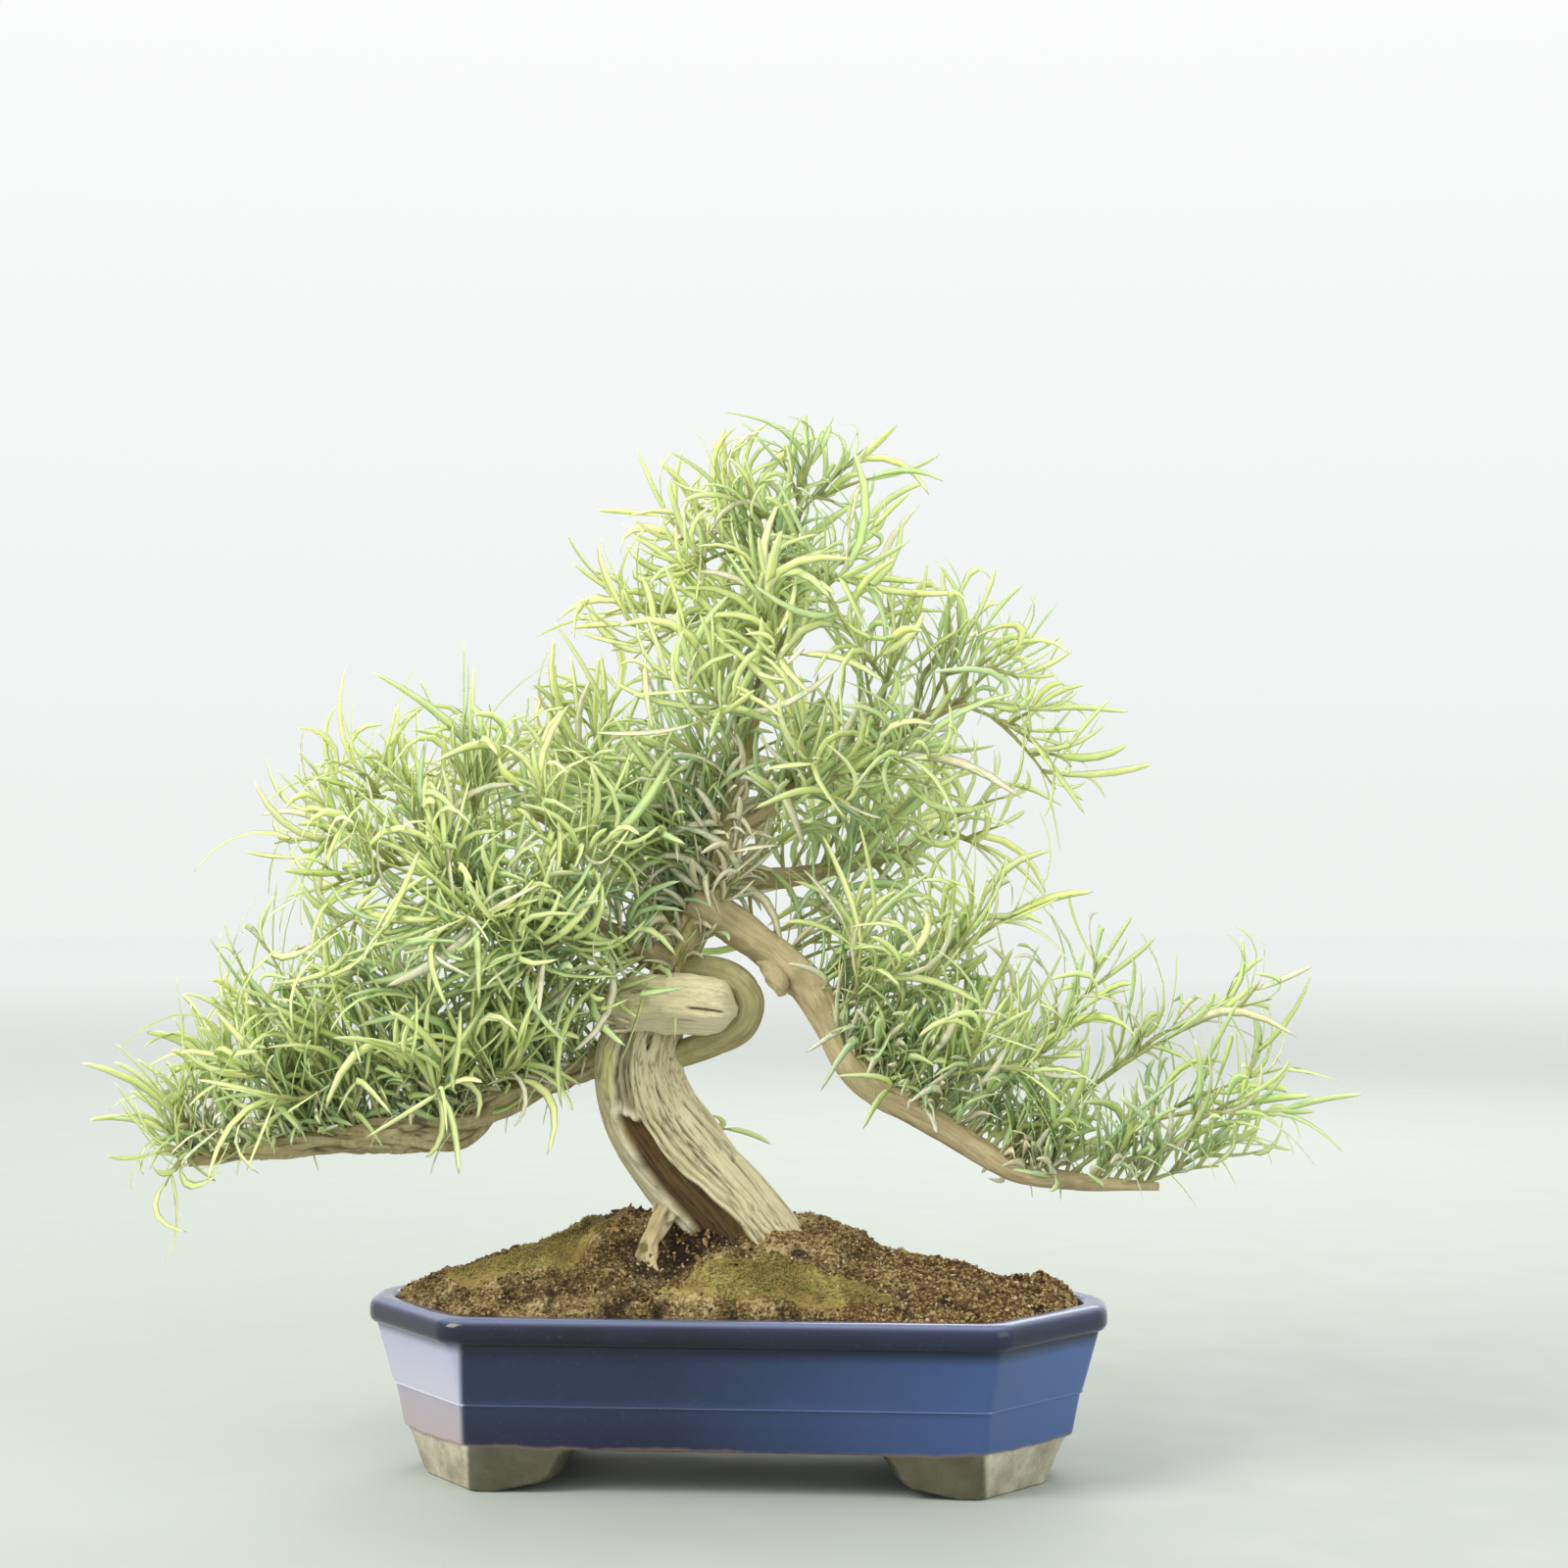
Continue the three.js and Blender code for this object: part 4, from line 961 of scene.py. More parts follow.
# %% The trunk's piece
trunk_grid, grain, marks = limb(LIMBS["trunk"], 0.75, 230, trunk_form)
marks = {key: with_ends(np.broadcast_to(values, grain.shape[:2])) for key, values in marks.items()}
marks["grain"] = with_ends(grain)
add_piece("trunk_driftwood", closed_grid(trunk_grid), "driftwood", driftwood, ["trunk"], **marks)

# %% [markdown]
# ## The broken stub
# Over the trunk's top lies the weathered end of an old branch: a short, blunt log with cracks along it, a
# bevelled lower edge, a rounded right end and a splintered left one.


# %% Stub
def stub_form(share, turn, radius, grain):
    """Radius of a blunt, squarish section that closes in a quarter circle at the right end. The bevel is a
    flat cut across the lower front: reach is held under its distance divided by the cosine of the turn to it.
    Each long crack is exp(-((turn - its place) / width)²) between two shares of the length."""
    square = (np.abs(np.cos(turn)) ** 2.6 + np.abs(np.sin(turn)) ** 2.6) ** (-1 / 2.6)
    blunt = np.sqrt(np.clip(1 - (smooth_step(share, 0.84, 1.0) * 0.97) ** 2, 0.02, 1))
    ragged = 1 + 0.5 * noise(grain / (1, 1, 3), 5, 40, 3) * smooth_step(share, 0.3, 0.0)
    wavy = turn + 0.07 * noise(grain / (1, 1, 2), 9, 45, 2)
    cracks = grooves(grain, 2.2, 10, 42, 0.09) * 0.35
    for place, start, end in ((3.22, 0.66, 0.93), (3.62, 0.6, 0.76), (2.6, 0.3, 0.5)):
        window = smooth_step(share, start, start + 0.05) * smooth_step(share, end, end - 0.05)
        cracks = cracks + 1.7 * window * np.exp(-(((wavy - place - 0.3 * (share - start)) / 0.045) ** 2))
    reach = radius * square * blunt * ragged + 1.1 * noise(grain, 10, 43, 3) - cracks
    towards = np.cos(turn - 1.27 * np.pi)
    bevel = np.where(towards > 0.2, 0.9 * radius * blunt / np.maximum(towards, 0.2), 99)
    lower = smooth_step(reach, bevel - 0.8, bevel + 0.8)
    # The groove mark paints shade into the cracks.
    marks = {"groove": np.clip(cracks / 1.7, 0, 1), "bleach": 0.4 * lower}
    return np.minimum(reach, bevel), marks


# %% A limb as a piece, and splinters
def add_limb(name, grid, grain, marks, slot, material, extra=()):
    """Adds a limb's piece, with further closed shapes joined to it that share its finish."""
    count = sum(len(points) for points, _ in extra)
    marks = {key: np.append(with_ends(np.broadcast_to(value, grain.shape[:2])), np.zeros(count))
             for key, value in marks.items()}
    grain = np.vstack([with_ends(grain), *[points for points, _ in extra]])
    shape = joined([closed_grid(grid), *extra])
    return add_piece(name + "_wood", shape, slot, material, [name], grain=grain, **marks)


def splinters(rng, starts, ways, lengths, width):
    """Thin four-sided shards: a square base at each start, tapering to a point along its way."""
    ways = unit(np.asarray(ways, float))
    side = unit(np.cross(ways, rng.normal(size=ways.shape)))
    other = np.cross(ways, side)
    turn = np.arange(4) * np.pi / 2
    flat = other[:, None] * np.sin(turn)[:, None] * 0.4
    base = width * (side[:, None] * np.cos(turn)[:, None] + flat)
    belly = base * 0.8 + ways[:, None] * (0.5 * lengths)[:, None, None]
    tip = (ways * lengths[:, None])[:, None]
    points = np.concatenate([base, belly, tip], 1) + np.asarray(starts, float)[:, None]
    sides = [(i, (i + 1) % 4, 4 + (i + 1) % 4, 4 + i) for i in range(4)]
    quads = np.array([(3, 2, 1, 0), *sides])
    return repeated(points, [quads, np.array([(4 + i, 4 + (i + 1) % 4, 8) for i in range(4)])])


# %% The stub's piece
SHARDS = 26
stub_grid, grain, marks = limb(LIMBS["jin_stub"], 0.45, 150, stub_form)
rng = np.random.default_rng(44)
starts = np.array([-44, -18, 120 + POT_HEIGHT]) + rng.uniform(-1, 1, (SHARDS, 3)) * (9, 8, 11)
ways = rng.normal(0, 0.22, (SHARDS, 3)) + (-1, -0.25, 0.1)
shards = splinters(rng, starts, ways, rng.uniform(9, 24, SHARDS), 1.1)
add_limb("jin_stub", stub_grid, grain, marks, "driftwood", driftwood, [shards])

# %% [markdown]
# ## Living bark
# The living vein, the branches and the leader keep their bark. It is smooth and beige on the right branch,
# twisted and knotted on the left one. One form function makes both, with more or less of the twist, the
# knots and the cracks.


# %% Bark finishes
def bark_finish(name, pale, mid, dark, deep, moss_tone):
    """Streaked wood with a film of moss in clouds, and more of it where the mossy mark is."""
    add, finish, colour, height, rough = wood_finish(name, pale, mid, dark, deep, 0.55, 0.8)
    clouds = speckle(add, coordinates(add), 0.011, detail=5.0)
    green = mixed(add, spread(add, clouds, 0.55, 0.68, 0.0, 0.6), colour, tone(moss_tone))
    green = mixed(add, mark(add, "mossy"), green, tone("6f6a3a"))
    return finish(Base_Color=green, Roughness=rough, Normal=relief(add, height, 0.0004, 0.6))


vein_bark = bark_finish("vein_bark", "b8b184", "a09868", "7c7450", "524a30", "8f8c58")
smooth_bark = bark_finish("smooth_bark", "cabb94", "ae9c74", "86734a", "55442a", "8f8a60")
straw_bark = bark_finish("straw_bark", "cdc190", "b0a26c", "84774a", "4a4026", "9a9358")
rough_bark = bark_finish("rough_bark", "bdb088", "96865c", "66573a", "392d17", "7f7c50")


# %% Bark form
def bark_form(twist, ribs, knots, cracks, seed):
    """A form function: radius × (1 + an oval and ribs that twist along the limb + knots of noise) -
    cracks."""

    def form(share, turn, radius, grain):
        twisted = turn + twist * share
        wave = 0.06 * np.cos(2 * twisted) + ribs * np.cos(5 * twisted + 0.8 * noise(grain, 20, seed, 2))
        lumps = knots * noise(grain / (1, 1, 1.6), 11, seed + 1, 3)
        depth = cracks * grooves(grain, 4, 6, seed + 2, 0.16)
        fade = 0.15 + 0.85 * smooth_step(share, 1.0, 0.9)
        reach = np.maximum(radius * (1 + wave + lumps * fade) - depth * radius / 8, 0.4 * radius)
        mossy = np.clip(smooth_step(noise(grain, 9, seed + 3, 2), 0.25, 0.6) * 0.8, 0, 1)
        # The groove mark paints shade into the cracks and into the hollows between knots.
        return reach, {"groove": np.clip(depth / 2 - 0.6 * lumps, 0, 1), "mossy": mossy * ribs * 8}

    return form


# %% Stems that wind about a limb
def wandering(name, seed, offset, thickness, start=0.0, end=1.0, winding=0):
    """Rows for a stem that winds about a limb's own line, offset times its radius away from it."""
    shares = np.linspace(start, end, 22)
    rows = path(LIMBS[name], shares)
    turn = seed * 2.4 + shares * (3 + seed % 3 + winding)
    away = rows[:, 3] * offset
    _, back, left = frame_along(rows[:, :3])
    rows[:, :3] += away[:, None] * (np.cos(turn)[:, None] * back + np.sin(turn)[:, None] * left)
    rows[:, 3] = np.maximum(rows[:, 3] * thickness, 0.9)
    return rows


# %% Vein, branches and leader
BRANCH = (4.0, 0.07, 0.15, 0.8)
WOODS = {
    "live_vein": (vein_bark, 0.6, 72, bark_form(1.2, 0.03, 0.05, 0.5, 50)),
    "right_branch": (smooth_bark, 0.8, 64, bark_form(1.5, 0.03, 0.1, 0.35, 55)),
    "left_branch": (rough_bark, 0.7, 72, bark_form(9.0, 0.11, 0.34, 1.6, 60)),
    "upper_left_branch": (rough_bark, 1.2, 32, bark_form(*BRANCH, 65)),
    "back_left_branch": (rough_bark, 1.2, 32, bark_form(*BRANCH, 70)),
    "upper_right_branch": (smooth_bark, 1.2, 32, bark_form(*BRANCH, 75)),
    "back_right_branch": (smooth_bark, 1.2, 32, bark_form(*BRANCH, 80)),
}
KNOB = [[11, -3, 141, 2.5], [15, -8, 137, 5.2], [18.5, -10, 132, 4.8], [20, -9, 127, 2]]
knob_grid = limb(KNOB, 0.6, 36, bark_form(3.0, 0.08, 0.35, 0.8, 85))[0]
strand_form = bark_form(3.0, 0.12, 0.3, 1.4, 95)
strands = []
for seed in range(1, 5):
    rows = wandering("left_branch", seed, 0.86, 0.4, 0.1 + 0.02 * seed, 0.8 + 0.02 * seed, 6)
    strands.append(closed_grid(limb(rows, 0.9, 22, strand_form)[0]))
extras = {"right_branch": [closed_grid(knob_grid)], "left_branch": strands}
for name, (bark, step, sides, form) in WOODS.items():
    grid, grain, marks = limb(LIMBS[name], step, sides, form)
    add_limb(name, grid, grain, marks, "bark", bark, extras.get(name, ()))


# %% Leader
thin_form = bark_form(5.0, 0.1, 0.2, 1.0, 90)
leader_grid, grain, marks = limb(wandering("leader", 1, 0.1, 0.26), 0.9, 40, thin_form)
stems = [wandering("leader", seed, 0.5, 0.2, 0, 0.4 + 0.05 * seed) for seed in range(2, 12)]
stems = [closed_grid(limb(rows, 1.3, 14, thin_form)[0]) for rows in stems]
add_limb("leader", leader_grid, grain, marks, "bark", straw_bark, stems)

# %% Surface root
ROOT = (2.0, 0.16, 0.3, 1.4)
root_grid, grain, marks = limb(LIMBS["surface_root"], 0.6, 40, bark_form(*ROOT, 100))
fork = [[-34, -18, 26, 3.0], [-37, -17, 18, 2.6], [-47, -18, 10, 2.4], [-54, -22, 3, 1.8]]
spur = [[-34, -18, 27, 2.8], [-33, -24, 17, 2.4], [-28, -29, 6, 1.8]]
forks = [closed_grid(limb(rows, 0.8, 24, bark_form(*ROOT, 104))[0]) for rows in (fork, spur)]
add_limb("surface_root", root_grid, grain, marks, "bark", smooth_bark, forks)

# %% [markdown]
# ## Leaves
# A leaf is narrow and slightly folded along its midrib, pointed at both ends, and it curves as it grows.
# Thousands are needed, so the formula works on all the leaves of a spray at once, and each one has only a few
# dozen faces. Marks on the points tell the finish how young the leaf is, how far along it the point is, and
# how near its midrib.


# %% Leaf surface
LEAF_PLACES = [0.05, 0.2, 0.4, 0.6, 0.78, 0.93]
LEAF_POINTS = 4 * len(LEAF_PLACES) + 2


def leaves(bases, ways, faces_up, lengths, widths, curl, swing):
    """Midrib(t) = base + length × (t · way + t² · curl + t³ · swing), and at each place four corners: the
    left edge, the top of the midrib, the right edge and the underside. Half width(t) =
    width / 2 × sin(π t^0.9)^0.42. Two tips close the ends."""
    t = np.array(LEAF_PLACES)[:, None]
    lengths, widths = lengths[:, None, None], widths[:, None, None]
    bases, ways, curl, swing = bases[:, None], unit(ways)[:, None], curl[:, None], swing[:, None]
    rib = bases + lengths * (t * ways + t**2 * curl + t**3 * swing)
    ahead = unit(ways + 2 * t * curl + 3 * t**2 * swing)
    side = unit(np.cross(ahead, faces_up[:, None]))
    up = np.cross(side, ahead)
    half = widths / 2 * np.sin(np.pi * t**0.9) ** 0.42
    thick = (0.10 + 0.05 * half) * up
    edge = rib + 0.22 * half * up
    points = np.stack([edge + half * side, rib + thick, edge - half * side, rib - thick], 2)
    count, places_along = points.shape[:2]
    tips = bases + lengths * (ways + curl + swing)
    points = np.concatenate([points.reshape(count, -1, 3), bases, tips], 1)
    marks = {
        "along": np.tile(np.append(np.repeat(t[:, 0], 4), [0, 1]), count),
        "rib": np.tile(np.append(np.tile([0, 1, 0, 1], places_along), [1, 1]), count),
    }
    return repeated(points, grid_faces(places_along, 4)), marks


# %% Leaf finish
def leaf_finish():
    """Lemon when new, grey-green with age, straw when withered, with darker edges and a paler tip."""
    add, finish = new_material("narrow_leaf", Specular_IOR_Level=0.12, Subsurface_Weight=0.55,
                               Subsurface_Scale=0.002, Subsurface_Radius=(1.0, 1.0, 0.6))
    where = coordinates(add)
    clouds = speckle(add, where, 0.006)
    wander = spread(add, clouds, 0.3, 0.7, -0.1, 0.1)
    age = reckoned(add, mark(add, "age"), "ADD", wander)
    colour = tones(add, age, (0.0, "f4f9ac"), (0.2, "e6f196"), (0.42, "cde48e"), (0.64, "b6d592"),
                   (0.86, "a6c49a"), (0.95, "ebe2c0"), (1.0, "e0d2ac"))
    edge = spread(add, mark(add, "rib"), 0.0, 0.28, 0.75, 0.0)
    colour = mixed(add, edge, colour, tone("7c8e5c"))
    tip = spread(add, mark(add, "along"), 0.75, 1.0, 0.0, 0.3)
    colour = mixed(add, tip, colour, tone("dfe59a"))
    colour = mixed(add, mark(add, "twig"), colour, tone("b4b27a"))
    rough = spread(add, clouds, 0.3, 0.7, 0.6, 0.8)
    veins = add("TexNoise", inputs={"Vector": where, "Scale": 1500.0, "Detail": 2.0})
    return finish(Base_Color=colour, Roughness=rough, Normal=relief(add, veins, 0.0001, 0.3))


leaf_green = leaf_finish()
print("leaf finish ready")

# %% [markdown]
# ## Sprays of leaves
# Each limb carries sprays: a main twig, a side twig, and short shoots off both that reach up and outwards.
# A twig is a quadratic curve with a slight arch. Leaves follow it with a golden angle, 137.5°, from one to
# the next, wide open at the foot of the twig and closing towards its tip. A row below is the place along the
# limb where the spray grows, as a share of its length, and the tips of its two twigs, in the part's own
# millimetres.

# %% The sprays of each limb
SPRAYS = {
    "left_branch": [
        [0.97, [-243, -12, 71], [-240, -26, 50]],
        [0.86, [-226, -2, 112], [-232, 14, 88]],
        [0.76, [-208, -30, 128], [-214, -38, 98]],
        [0.66, [-176, -46, 112], [-196, -50, 84]],
        [0.58, [-168, 22, 110], [-190, 30, 96]],
        [0.46, [-140, -52, 108], [-118, -50, 92]],
        [0.34, [-104, -48, 112], [-84, -46, 100]],
    ],
    "upper_left_branch": [
        [0.97, [-190, -6, 208], [-186, -22, 186]],
        [0.88, [-178, -40, 168], [-160, -50, 148]],
        [0.8, [-148, 8, 228], [-166, -4, 218]],
        [0.7, [-116, -12, 248], [-100, 10, 240]],
        [0.6, [-128, -56, 180], [-108, -60, 152]],
        [0.48, [-92, -58, 158], [-72, -60, 136]],
        [0.38, [-78, -36, 214], [-56, -50, 192]],
    ],
    "back_left_branch": [
        [0.97, [-150, 44, 182], [-132, 56, 204]],
        [0.8, [-108, 66, 186], [-88, 70, 218]],
        [0.62, [-66, 42, 254], [-92, 32, 240]],
        [0.46, [-50, 74, 196], [-72, 66, 164]],
    ],
    "leader": [
        [0.76, [-64, 0, 288], [-50, -16, 266]],
        [0.86, [-42, 4, 322], [-28, -18, 302]],
        [0.93, [-12, -10, 340], [-16, 14, 322]],
        [0.98, [26, -4, 352], [44, 10, 340]],
        [0.82, [62, -4, 314], [46, -22, 294]],
        [0.6, [-22, -38, 264], [-4, -46, 242]],
        [0.68, [24, 40, 290], [-18, 36, 286]],
        [0.72, [26, -42, 264], [12, -36, 294]],
    ],
    "upper_right_branch": [
        [0.62, [72, 4, 298], [54, -20, 274]],
        [0.82, [104, 2, 290], [124, -8, 264]],
        [0.96, [138, -4, 224], [140, 12, 208]],
        [0.46, [100, -28, 208], [76, -36, 226]],
        [0.28, [54, -42, 206], [34, -44, 228]],
    ],
    "back_right_branch": [
        [0.58, [58, 54, 228], [34, 60, 242]],
        [0.97, [104, 56, 208], [114, 46, 186]],
        [0.78, [80, 74, 182], [48, 78, 198]],
    ],
    "right_branch": [
        [0.36, [76, -30, 142], [58, -32, 162]],
        [0.47, [130, -8, 172], [104, -4, 162]],
        [0.62, [112, -34, 118], [134, -40, 100]],
        [0.7, [156, -24, 128], [162, 0, 142]],
        [0.56, [116, 30, 118], [146, 34, 104]],
        [0.8, [206, 4, 128], [230, 2, 130]],
        [0.89, [236, -10, 102], [230, -26, 82]],
        [0.98, [208, -16, 60], [216, 0, 70]],
    ],
}
GOLDEN = np.pi * (3 - 5**0.5)
UP = np.array([0.0, 0.0, 1.0])


# %% Twigs and shoots
def arched(starts, ends, rise=0.12, sway=0.0):
    """Quadratic curves, (curve, three points, xyz): start, a middle that is lifted by a share of the length
    and moved aside by another, and end."""
    starts, ends = np.atleast_2d(starts), np.atleast_2d(ends)
    span = np.linalg.norm(ends - starts, axis=1, keepdims=True)
    return np.stack([starts, (starts + ends) / 2 + span * (rise * UP + sway), ends], 1)


def on_curve(curves, t):
    """Point and direction: (1-t)² a + 2t(1-t) b + t² c, and 2(1-t)(b - a) + 2t(c - b)."""
    a, b, c = np.moveaxis(curves, 1, 0)
    t = np.reshape(t, (-1, 1))
    return (1 - t) ** 2 * a + 2 * t * (1 - t) * b + t**2 * c, unit(2 * (1 - t) * (b - a) + 2 * t * (c - b))


def square_to(ways):
    """Two unit vectors square to each way and to each other, the first as near upright as can be."""
    one = unit(UP - ways * (ways @ UP)[..., None] + 1e-6)
    return one, np.cross(ways, one)


def off_to_the_side(ways, turn, angle):
    """Directions that leave each way at an angle, turned round it from upright."""
    one, two = square_to(ways)
    turn, angle = turn[:, None], angle[:, None]
    return ways * np.cos(angle) + (one * np.cos(turn) + two * np.sin(turn)) * np.sin(angle)


TWIG_PLACES = 7
TWIG_SIDES = 5


def twig_tubes(curves, thick, thin):
    """Five-sided tubes along the curves, from thick to thin."""
    t = np.linspace(0, 1, TWIG_PLACES)[:, None]
    a, b, c = np.moveaxis(curves[:, :, None], 1, 0)
    middles = (1 - t) ** 2 * a + 2 * t * (1 - t) * b + t**2 * c
    one, two = square_to(unit(np.gradient(middles, axis=1)))
    turn = np.arange(TWIG_SIDES)[:, None] * 2 * np.pi / TWIG_SIDES
    around = one[:, :, None] * np.cos(turn) + two[:, :, None] * np.sin(turn)
    radius = (thick + (thin - thick) * t)[:, None]
    points = (middles[:, :, None] + radius * around).reshape(len(curves), -1, 3)
    points = np.concatenate([points, middles[:, :1], middles[:, -1:]], 1)
    return repeated(points, grid_faces(TWIG_PLACES, TWIG_SIDES))


# %% Leaves along twigs
def leaves_on(rng, curves, spacing, size, first=0.06):
    """Leaves along curves: each has as many as its length over the spacing, and its own first turn. A leaf
    turns its face to the light outside the crown, sets out at an angle, more upright near the shoot's foot,
    and bends like a sickle, more often upwards. For an arc of a radians, curl is a / 2 across the leaf and
    swing is a² / 6 back along it."""
    span = np.linalg.norm(curves[:, 2] - curves[:, 0], axis=1)
    counts = np.maximum(4, (span * (1 - first) / spacing).astype(int))
    owner = np.repeat(np.arange(len(curves)), counts)
    number = np.arange(counts.sum()) - np.repeat(np.cumsum(counts) - counts, counts)
    share = first + (1 - first) * (number + 0.5) / counts[owner]
    count = len(share)
    bases, ways = on_curve(curves[owner], share)
    turn = number * GOLDEN + rng.uniform(0, 2 * np.pi, len(curves))[owner] + rng.normal(0, 0.25, count)
    leaf_ways = off_to_the_side(ways, turn, 0.9 - 0.6 * share**2 + rng.normal(0, 0.18, count))
    upright = (0.15 + 1.3 * (1 - share) ** 2)[:, None]
    leaf_ways = unit(leaf_ways + upright * UP)
    lengths = size * rng.uniform(0.65, 1.4, count) * (0.72 + 0.4 * np.sin(np.pi * share**1.1))
    widths = rng.uniform(2.1, 3.7, count) * (lengths / size) ** 0.5
    faces_up = unit(bases * (0.3, 1, 0)) + 0.3 * UP + 0.3 * ways + rng.normal(0, 0.45, ways.shape)
    sickle = unit(np.cross(leaf_ways, faces_up))
    sickle = sickle * np.where(sickle[:, 2] < 0, -1, 1)[:, None]
    rises = rng.random(count) < 0.52 + 0.5 * (1 - share) ** 2
    arc = rng.uniform(0.4, 2.1, (count, 1)) * np.where(rises, 1, -1)[:, None]
    curl = sickle * arc / 2 + rng.normal(0, 0.14, (count, 3))
    swing = -leaf_ways * arc**2 / 6 + rng.normal(0, 0.06, (count, 3))
    return leaves(bases, leaf_ways, faces_up, lengths, widths, curl, swing), share


KEPT_LOW = np.array([-262, -78, 0])
KEPT_HIGH = np.array([248, 92, 355 + POT_HEIGHT])
KEPT_ROOM = 14


def kept_near(points):
    """Holds what grows too far out, along each axis: limit + room × tanh(way past the limit / room)."""
    below = KEPT_LOW + KEPT_ROOM * np.tanh((points - KEPT_LOW) / KEPT_ROOM)
    above = KEPT_HIGH + KEPT_ROOM * np.tanh((points - KEPT_HIGH) / KEPT_ROOM)
    return np.where(points < KEPT_LOW, below, np.where(points > KEPT_HIGH, above, points))


# %% Growing sprays and shoots
LEAF_REACH = 8
SPRAY_SHOOTS = 7


def grow_spray(rng, limb_name, share, ends, lush):
    """The twigs of a spray, and shoots off both that lean up and away from the limb. The twigs stop short of
    the spray's tips by about what a leaf reaches past them."""
    foot = path(LIMBS[limb_name], np.array([share]))[0, :3] + (0, 0, POT_HEIGHT)
    tips = np.array(ends, float) + (0, 0, POT_HEIGHT)
    tips = tips - unit(tips - foot) * LEAF_REACH
    main = arched(foot, tips[0])
    side = arched(on_curve(main, 0.4)[0], tips[1])
    twigs = np.concatenate([main, side])
    count = int(round(SPRAY_SHOOTS * lush))
    on = rng.permutation(count) % 2
    starts, ways = on_curve(twigs[on], rng.uniform(0.12, 0.85, count))
    turn = np.arange(count) * GOLDEN + rng.uniform(0, 6)
    out = off_to_the_side(ways, turn, rng.uniform(0.4, 0.9, count))
    out = unit(out + 0.4 * UP) * rng.uniform(12, 28, (count, 1))
    shoots = arched(starts, starts + out, 0.08, rng.normal(0, 0.1, (count, 3)))
    return np.concatenate([twigs, shoots])


def grow_shoots(rng, limb_name, start, end, count, longest, around, lean):
    """Shoots straight off a limb between two shares of its length. They set out from its upper side, or all
    round it if around is large, and lean by a vector."""
    share = rng.uniform(start, end, count)
    near = [share, np.minimum(share + 0.01, 1), share - 0.01]
    starts, ahead, behind = (path(LIMBS[limb_name], place)[:, :3] for place in near)
    turn = rng.normal(0, around, count)
    out = off_to_the_side(unit(ahead - behind), turn, rng.uniform(0.7, 1.4, count))
    out = unit(out + np.array(lean)) * longest * rng.uniform(0.4, 1, (count, 1))
    starts = starts + (0, 0, POT_HEIGHT)
    return arched(starts, starts + out, 0.1, rng.normal(0, 0.1, (count, 3)))


# %% A spray as a piece
def add_spray(name, rng, curves, size, spacing, age, straw, nodes=()):
    """Twigs and leaves of one spray as one piece. The age mark runs from 0, new, to 1, withered. A share of
    the leaves, straw, is withered. Returns how many leaves there are."""
    ((points, faces), marks), share = leaves_on(rng, curves, spacing, size)
    count = len(share)
    each = np.clip(age + 0.25 * (0.5 - share) + rng.normal(0, 0.12, count), 0, 0.86)
    each = np.where(rng.random(count) < straw, rng.uniform(0.93, 1, count), each)
    wood = twig_tubes(curves, 1.1, 0.45)
    points, faces = joined([(points, faces), wood])
    rest = np.zeros(len(wood[0]))
    marks = {key: np.append(values, rest) for key, values in marks.items()}
    marks["age"] = np.append(np.repeat(each, LEAF_POINTS), rest + 0.5)
    marks["twig"] = np.append(np.zeros(count * LEAF_POINTS), rest + 0.8)
    add_piece(name + "_leaves", (kept_near(points), faces), "foliage", leaf_green, nodes, **marks)
    return count


# %% Make all the sprays
LUSH = {
    "left_branch": 1.3,
    "upper_left_branch": 1.3,
    "back_left_branch": 1.2,
    "leader": 1.1,
    "upper_right_branch": 0.8,
    "back_right_branch": 0.6,
    "right_branch": 0.9,
}
LEAF_LENGTH = 32
LEAF_SPACING = 7.0
total = 0
for limb_name, rows in SPRAYS.items():
    for number, (share, *ends) in enumerate(rows):
        rng = np.random.default_rng([len(limb_name), number, 7])
        curves = grow_spray(rng, limb_name, share, ends, LUSH[limb_name])
        name = f"{limb_name}_spray_{number + 1}"
        # Outer sprays are younger and paler: partly new growth, partly painted light on the outside of the
        # crown.
        outer_and_lit = number < 3 or abs(ends[0][1]) > 30
        age = 0.3 if outer_and_lit else 0.5
        total += add_spray(name, rng, curves, LEAF_LENGTH, LEAF_SPACING, age, 0.07, [name])
print(total, "leaves")

# %% [markdown]
# A row of shoots is the limb, the two shares of its length they grow between, their count, their greatest
# length, how far round the limb they start, and the way they lean.

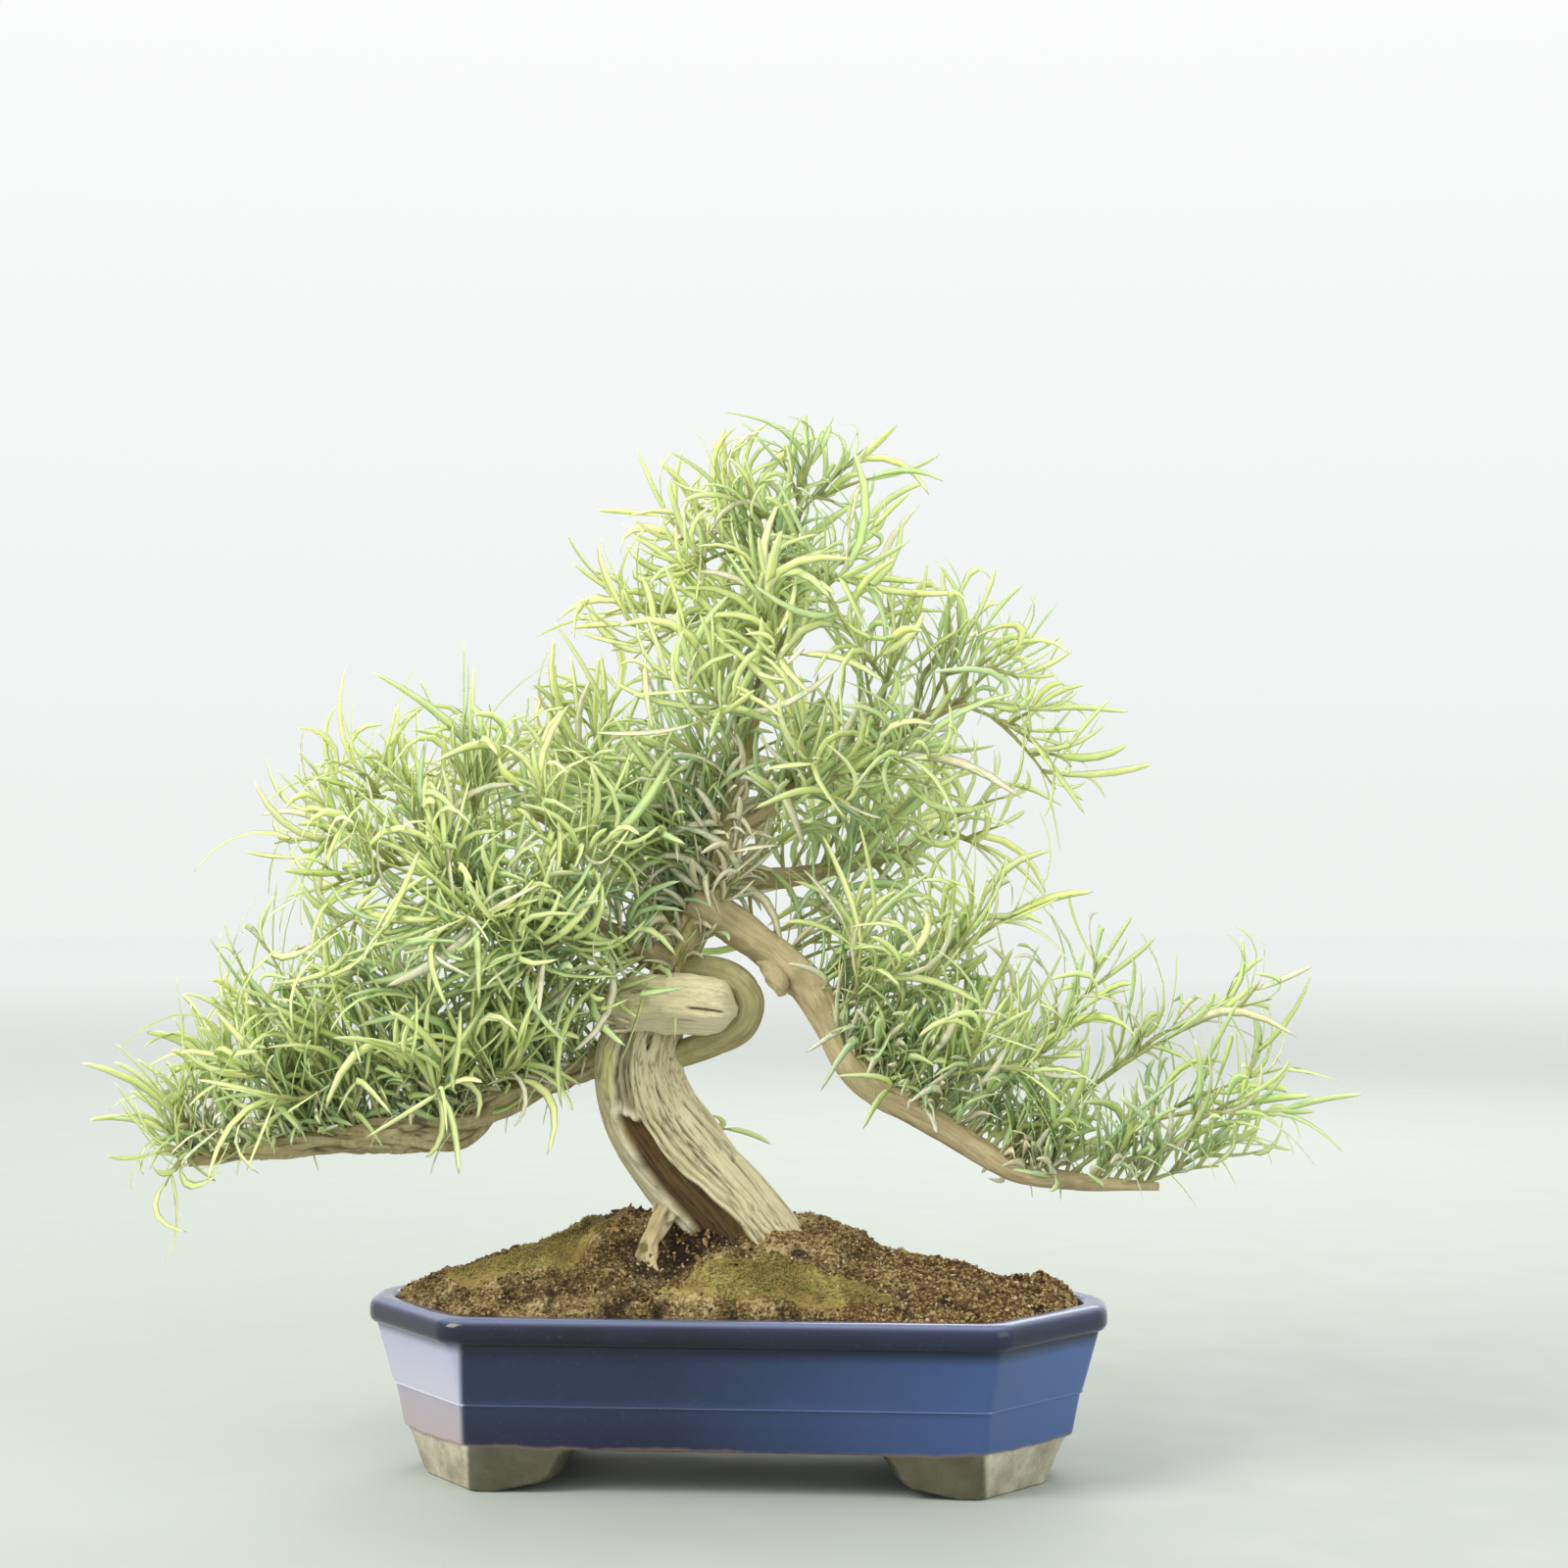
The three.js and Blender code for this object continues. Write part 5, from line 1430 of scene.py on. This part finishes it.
# %% Shoots along the limbs
SHOOTS = [
    ["left_branch", 0.14, 0.98, 62, 44, 0.6, (-0.1, -0.1, 0.8)],
    ["left_branch", 0.04, 0.8, 40, 92, 0.5, (-0.1, -0.2, 0.9)],
    ["left_branch", 0.06, 0.97, 110, 16, 1.0, (-0.2, -0.3, 0.5)],
    ["upper_left_branch", 0.1, 0.98, 26, 46, 1.6, (-0.1, -0.2, 0.3)],
    ["upper_left_branch", 0.02, 0.7, 40, 62, 0.8, (-0.4, -0.7, -1.3)],
    ["back_left_branch", 0.12, 0.98, 22, 46, 1.6, (-0.1, 0, 0.3)],
    ["leader", 0.4, 0.9, 32, 42, 3.0, (-0.1, -0.1, 0.7)],
    ["leader", 0.04, 0.5, 46, 66, 1.0, (-1.1, -0.3, 0.5)],
    ["upper_right_branch", 0.08, 0.98, 20, 46, 1.6, (0.1, -0.1, 0.4)],
    ["upper_right_branch", 0.1, 0.7, 8, 50, 1.0, (0.3, -0.3, -1.0)],
    ["back_right_branch", 0.12, 0.98, 20, 50, 1.6, (0.1, 0, -0.3)],
    ["right_branch", 0.12, 0.55, 24, 66, 0.6, (0.7, 0.8, 0.6)],
    ["right_branch", 0.44, 0.99, 54, 36, 0.7, (0.2, -0.1, 0.6)],
    ["right_branch", 0.3, 0.97, 60, 16, 0.9, (0.2, -0.3, 0.5)],
]
total = 0
for number, (limb_name, *how) in enumerate(SHOOTS):
    rng = np.random.default_rng([number, 19])
    curves = grow_shoots(rng, limb_name, *how)
    size = LEAF_LENGTH * min(1, 0.45 + how[3] / 100)
    straw = 0.45 if how[3] < 20 else 0.1
    total += add_spray(f"{limb_name}_shoots_{number}", rng, curves, size, LEAF_SPACING, 0.6, straw)
print(total, "more leaves")

# %% Withered leaves at the leader's foot
rng = np.random.default_rng(63)
curves = grow_shoots(rng, "leader", 0.02, 0.42, 56, 24, 3.0, (-0.1, -0.3, 0.5))
print(add_spray("leader_litter", rng, curves, 21, 3.4, 0.8, 0.85), "withered leaves")

# %% The sprig behind the trunk
rng = np.random.default_rng(77)
foot = np.array([-24, 14, 62 + POT_HEIGHT])
sprig = arched(np.array([foot, foot + (3, 1, 4)]), foot + [(17, 8, -16), (20, 4, 6)], 0.1)
add_spray("trunk_sprig", rng, sprig, 17, 6.5, 0.75, 0.0)

# %% [markdown]
# ## Studio
# A pale floor, a pale sky all round, one broad soft light from the upper left and a weaker one from the
# right. The camera looks level, from a little right of the middle, through a long lens.

# %% Floor
HORIZON = (0.84, 0.87, 0.85, 1)
ZENITH = (0.96, 0.965, 0.965, 1)
FLOOR_REACH = 6
FLOOR_CORNERS = 64
floor_mesh = bpy.data.meshes.new("floor")
turn = np.arange(FLOOR_CORNERS) * 2 * np.pi / FLOOR_CORNERS
circle = FLOOR_REACH * np.stack([np.cos(turn), np.sin(turn), 0 * turn], -1)
floor_mesh.from_pydata(circle.tolist(), [], [list(range(FLOOR_CORNERS))])
floor = bpy.data.objects.new("floor", floor_mesh)
bpy.context.scene.collection.objects.link(floor)


def floor_finish():
    """Pale paint that is a little darker round the pot, where the lamps are strongest."""
    add, finish = new_material("pale_floor")
    where = coordinates(add)
    away = add("VectorMath", out="Value", inputs={0: where}, operation="LENGTH")
    colour = mixed(add, spread(add, away, 0.4, 4.0), (0.42, 0.46, 0.42, 1), HORIZON)
    rough = spread(add, speckle(add, where, 0.05), 0.3, 0.7, 0.6, 0.8)
    return finish(Base_Color=colour, Roughness=rough)


floor_mesh.materials.append(floor_finish())

world = bpy.data.worlds.new("pale_sky")
world.use_nodes = True
nodes, links = world.node_tree.nodes, world.node_tree.links
sky = nodes["Background"]
sky.inputs["Strength"].default_value = 1.02
height = nodes.new("ShaderNodeSeparateXYZ")
links.new(nodes.new("ShaderNodeTexCoord").outputs["Generated"], height.inputs[0])
ramp = nodes.new("ShaderNodeValToRGB")
links.new(height.outputs["Z"], ramp.inputs[0])
for element, place, colour in zip(ramp.color_ramp.elements, (0.0, 0.3), (HORIZON, ZENITH)):
    element.position, element.color = place, colour
links.new(ramp.outputs["Color"], sky.inputs["Color"])
bpy.context.scene.world = world


# %% Lights and camera
def add_light(name, place, target, size, power, colour):
    """A square soft light at a place in metres that faces a target."""
    data = bpy.data.lights.new(name, "AREA")
    data.shape, data.size, data.energy, data.color = "SQUARE", size, power, colour
    lamp = bpy.data.objects.new(name, data)
    lamp.location = place
    x, y, z = np.array(target) - np.array(place)
    lamp.rotation_euler = (np.arctan2(np.hypot(x, y), -z), 0, np.arctan2(y, x) - np.pi / 2)
    bpy.context.scene.collection.objects.link(lamp)


add_light("key_light", (-1.1, -0.9, 1.35), (0, 0, 0.2), 1.0, 28, (1.0, 0.97, 0.91))
add_light("fill_light", (1.5, -0.7, 0.8), (0, 0, 0.2), 1.2, 7, (0.93, 0.97, 1.0))
add_light("back_light", (0.3, 1.4, 1.2), (0, 0, 0.25), 1.0, 9, (1.0, 1.0, 0.95))

lens = bpy.data.cameras.new("camera")
lens.lens = 67.5
lens.sensor_width = 36
lens.clip_end = 50
camera = bpy.data.objects.new("camera", lens)
camera.location = POT_MIDDLE + (0.1167, -1.2347, 0.2721)
camera.rotation_euler = np.radians([90.75, 0, 4.48])
bpy.context.scene.collection.objects.link(camera)
bpy.context.scene.camera = camera
bpy.context.scene.view_settings.view_transform = "Standard"
print("camera at", np.round(camera.location, 3))
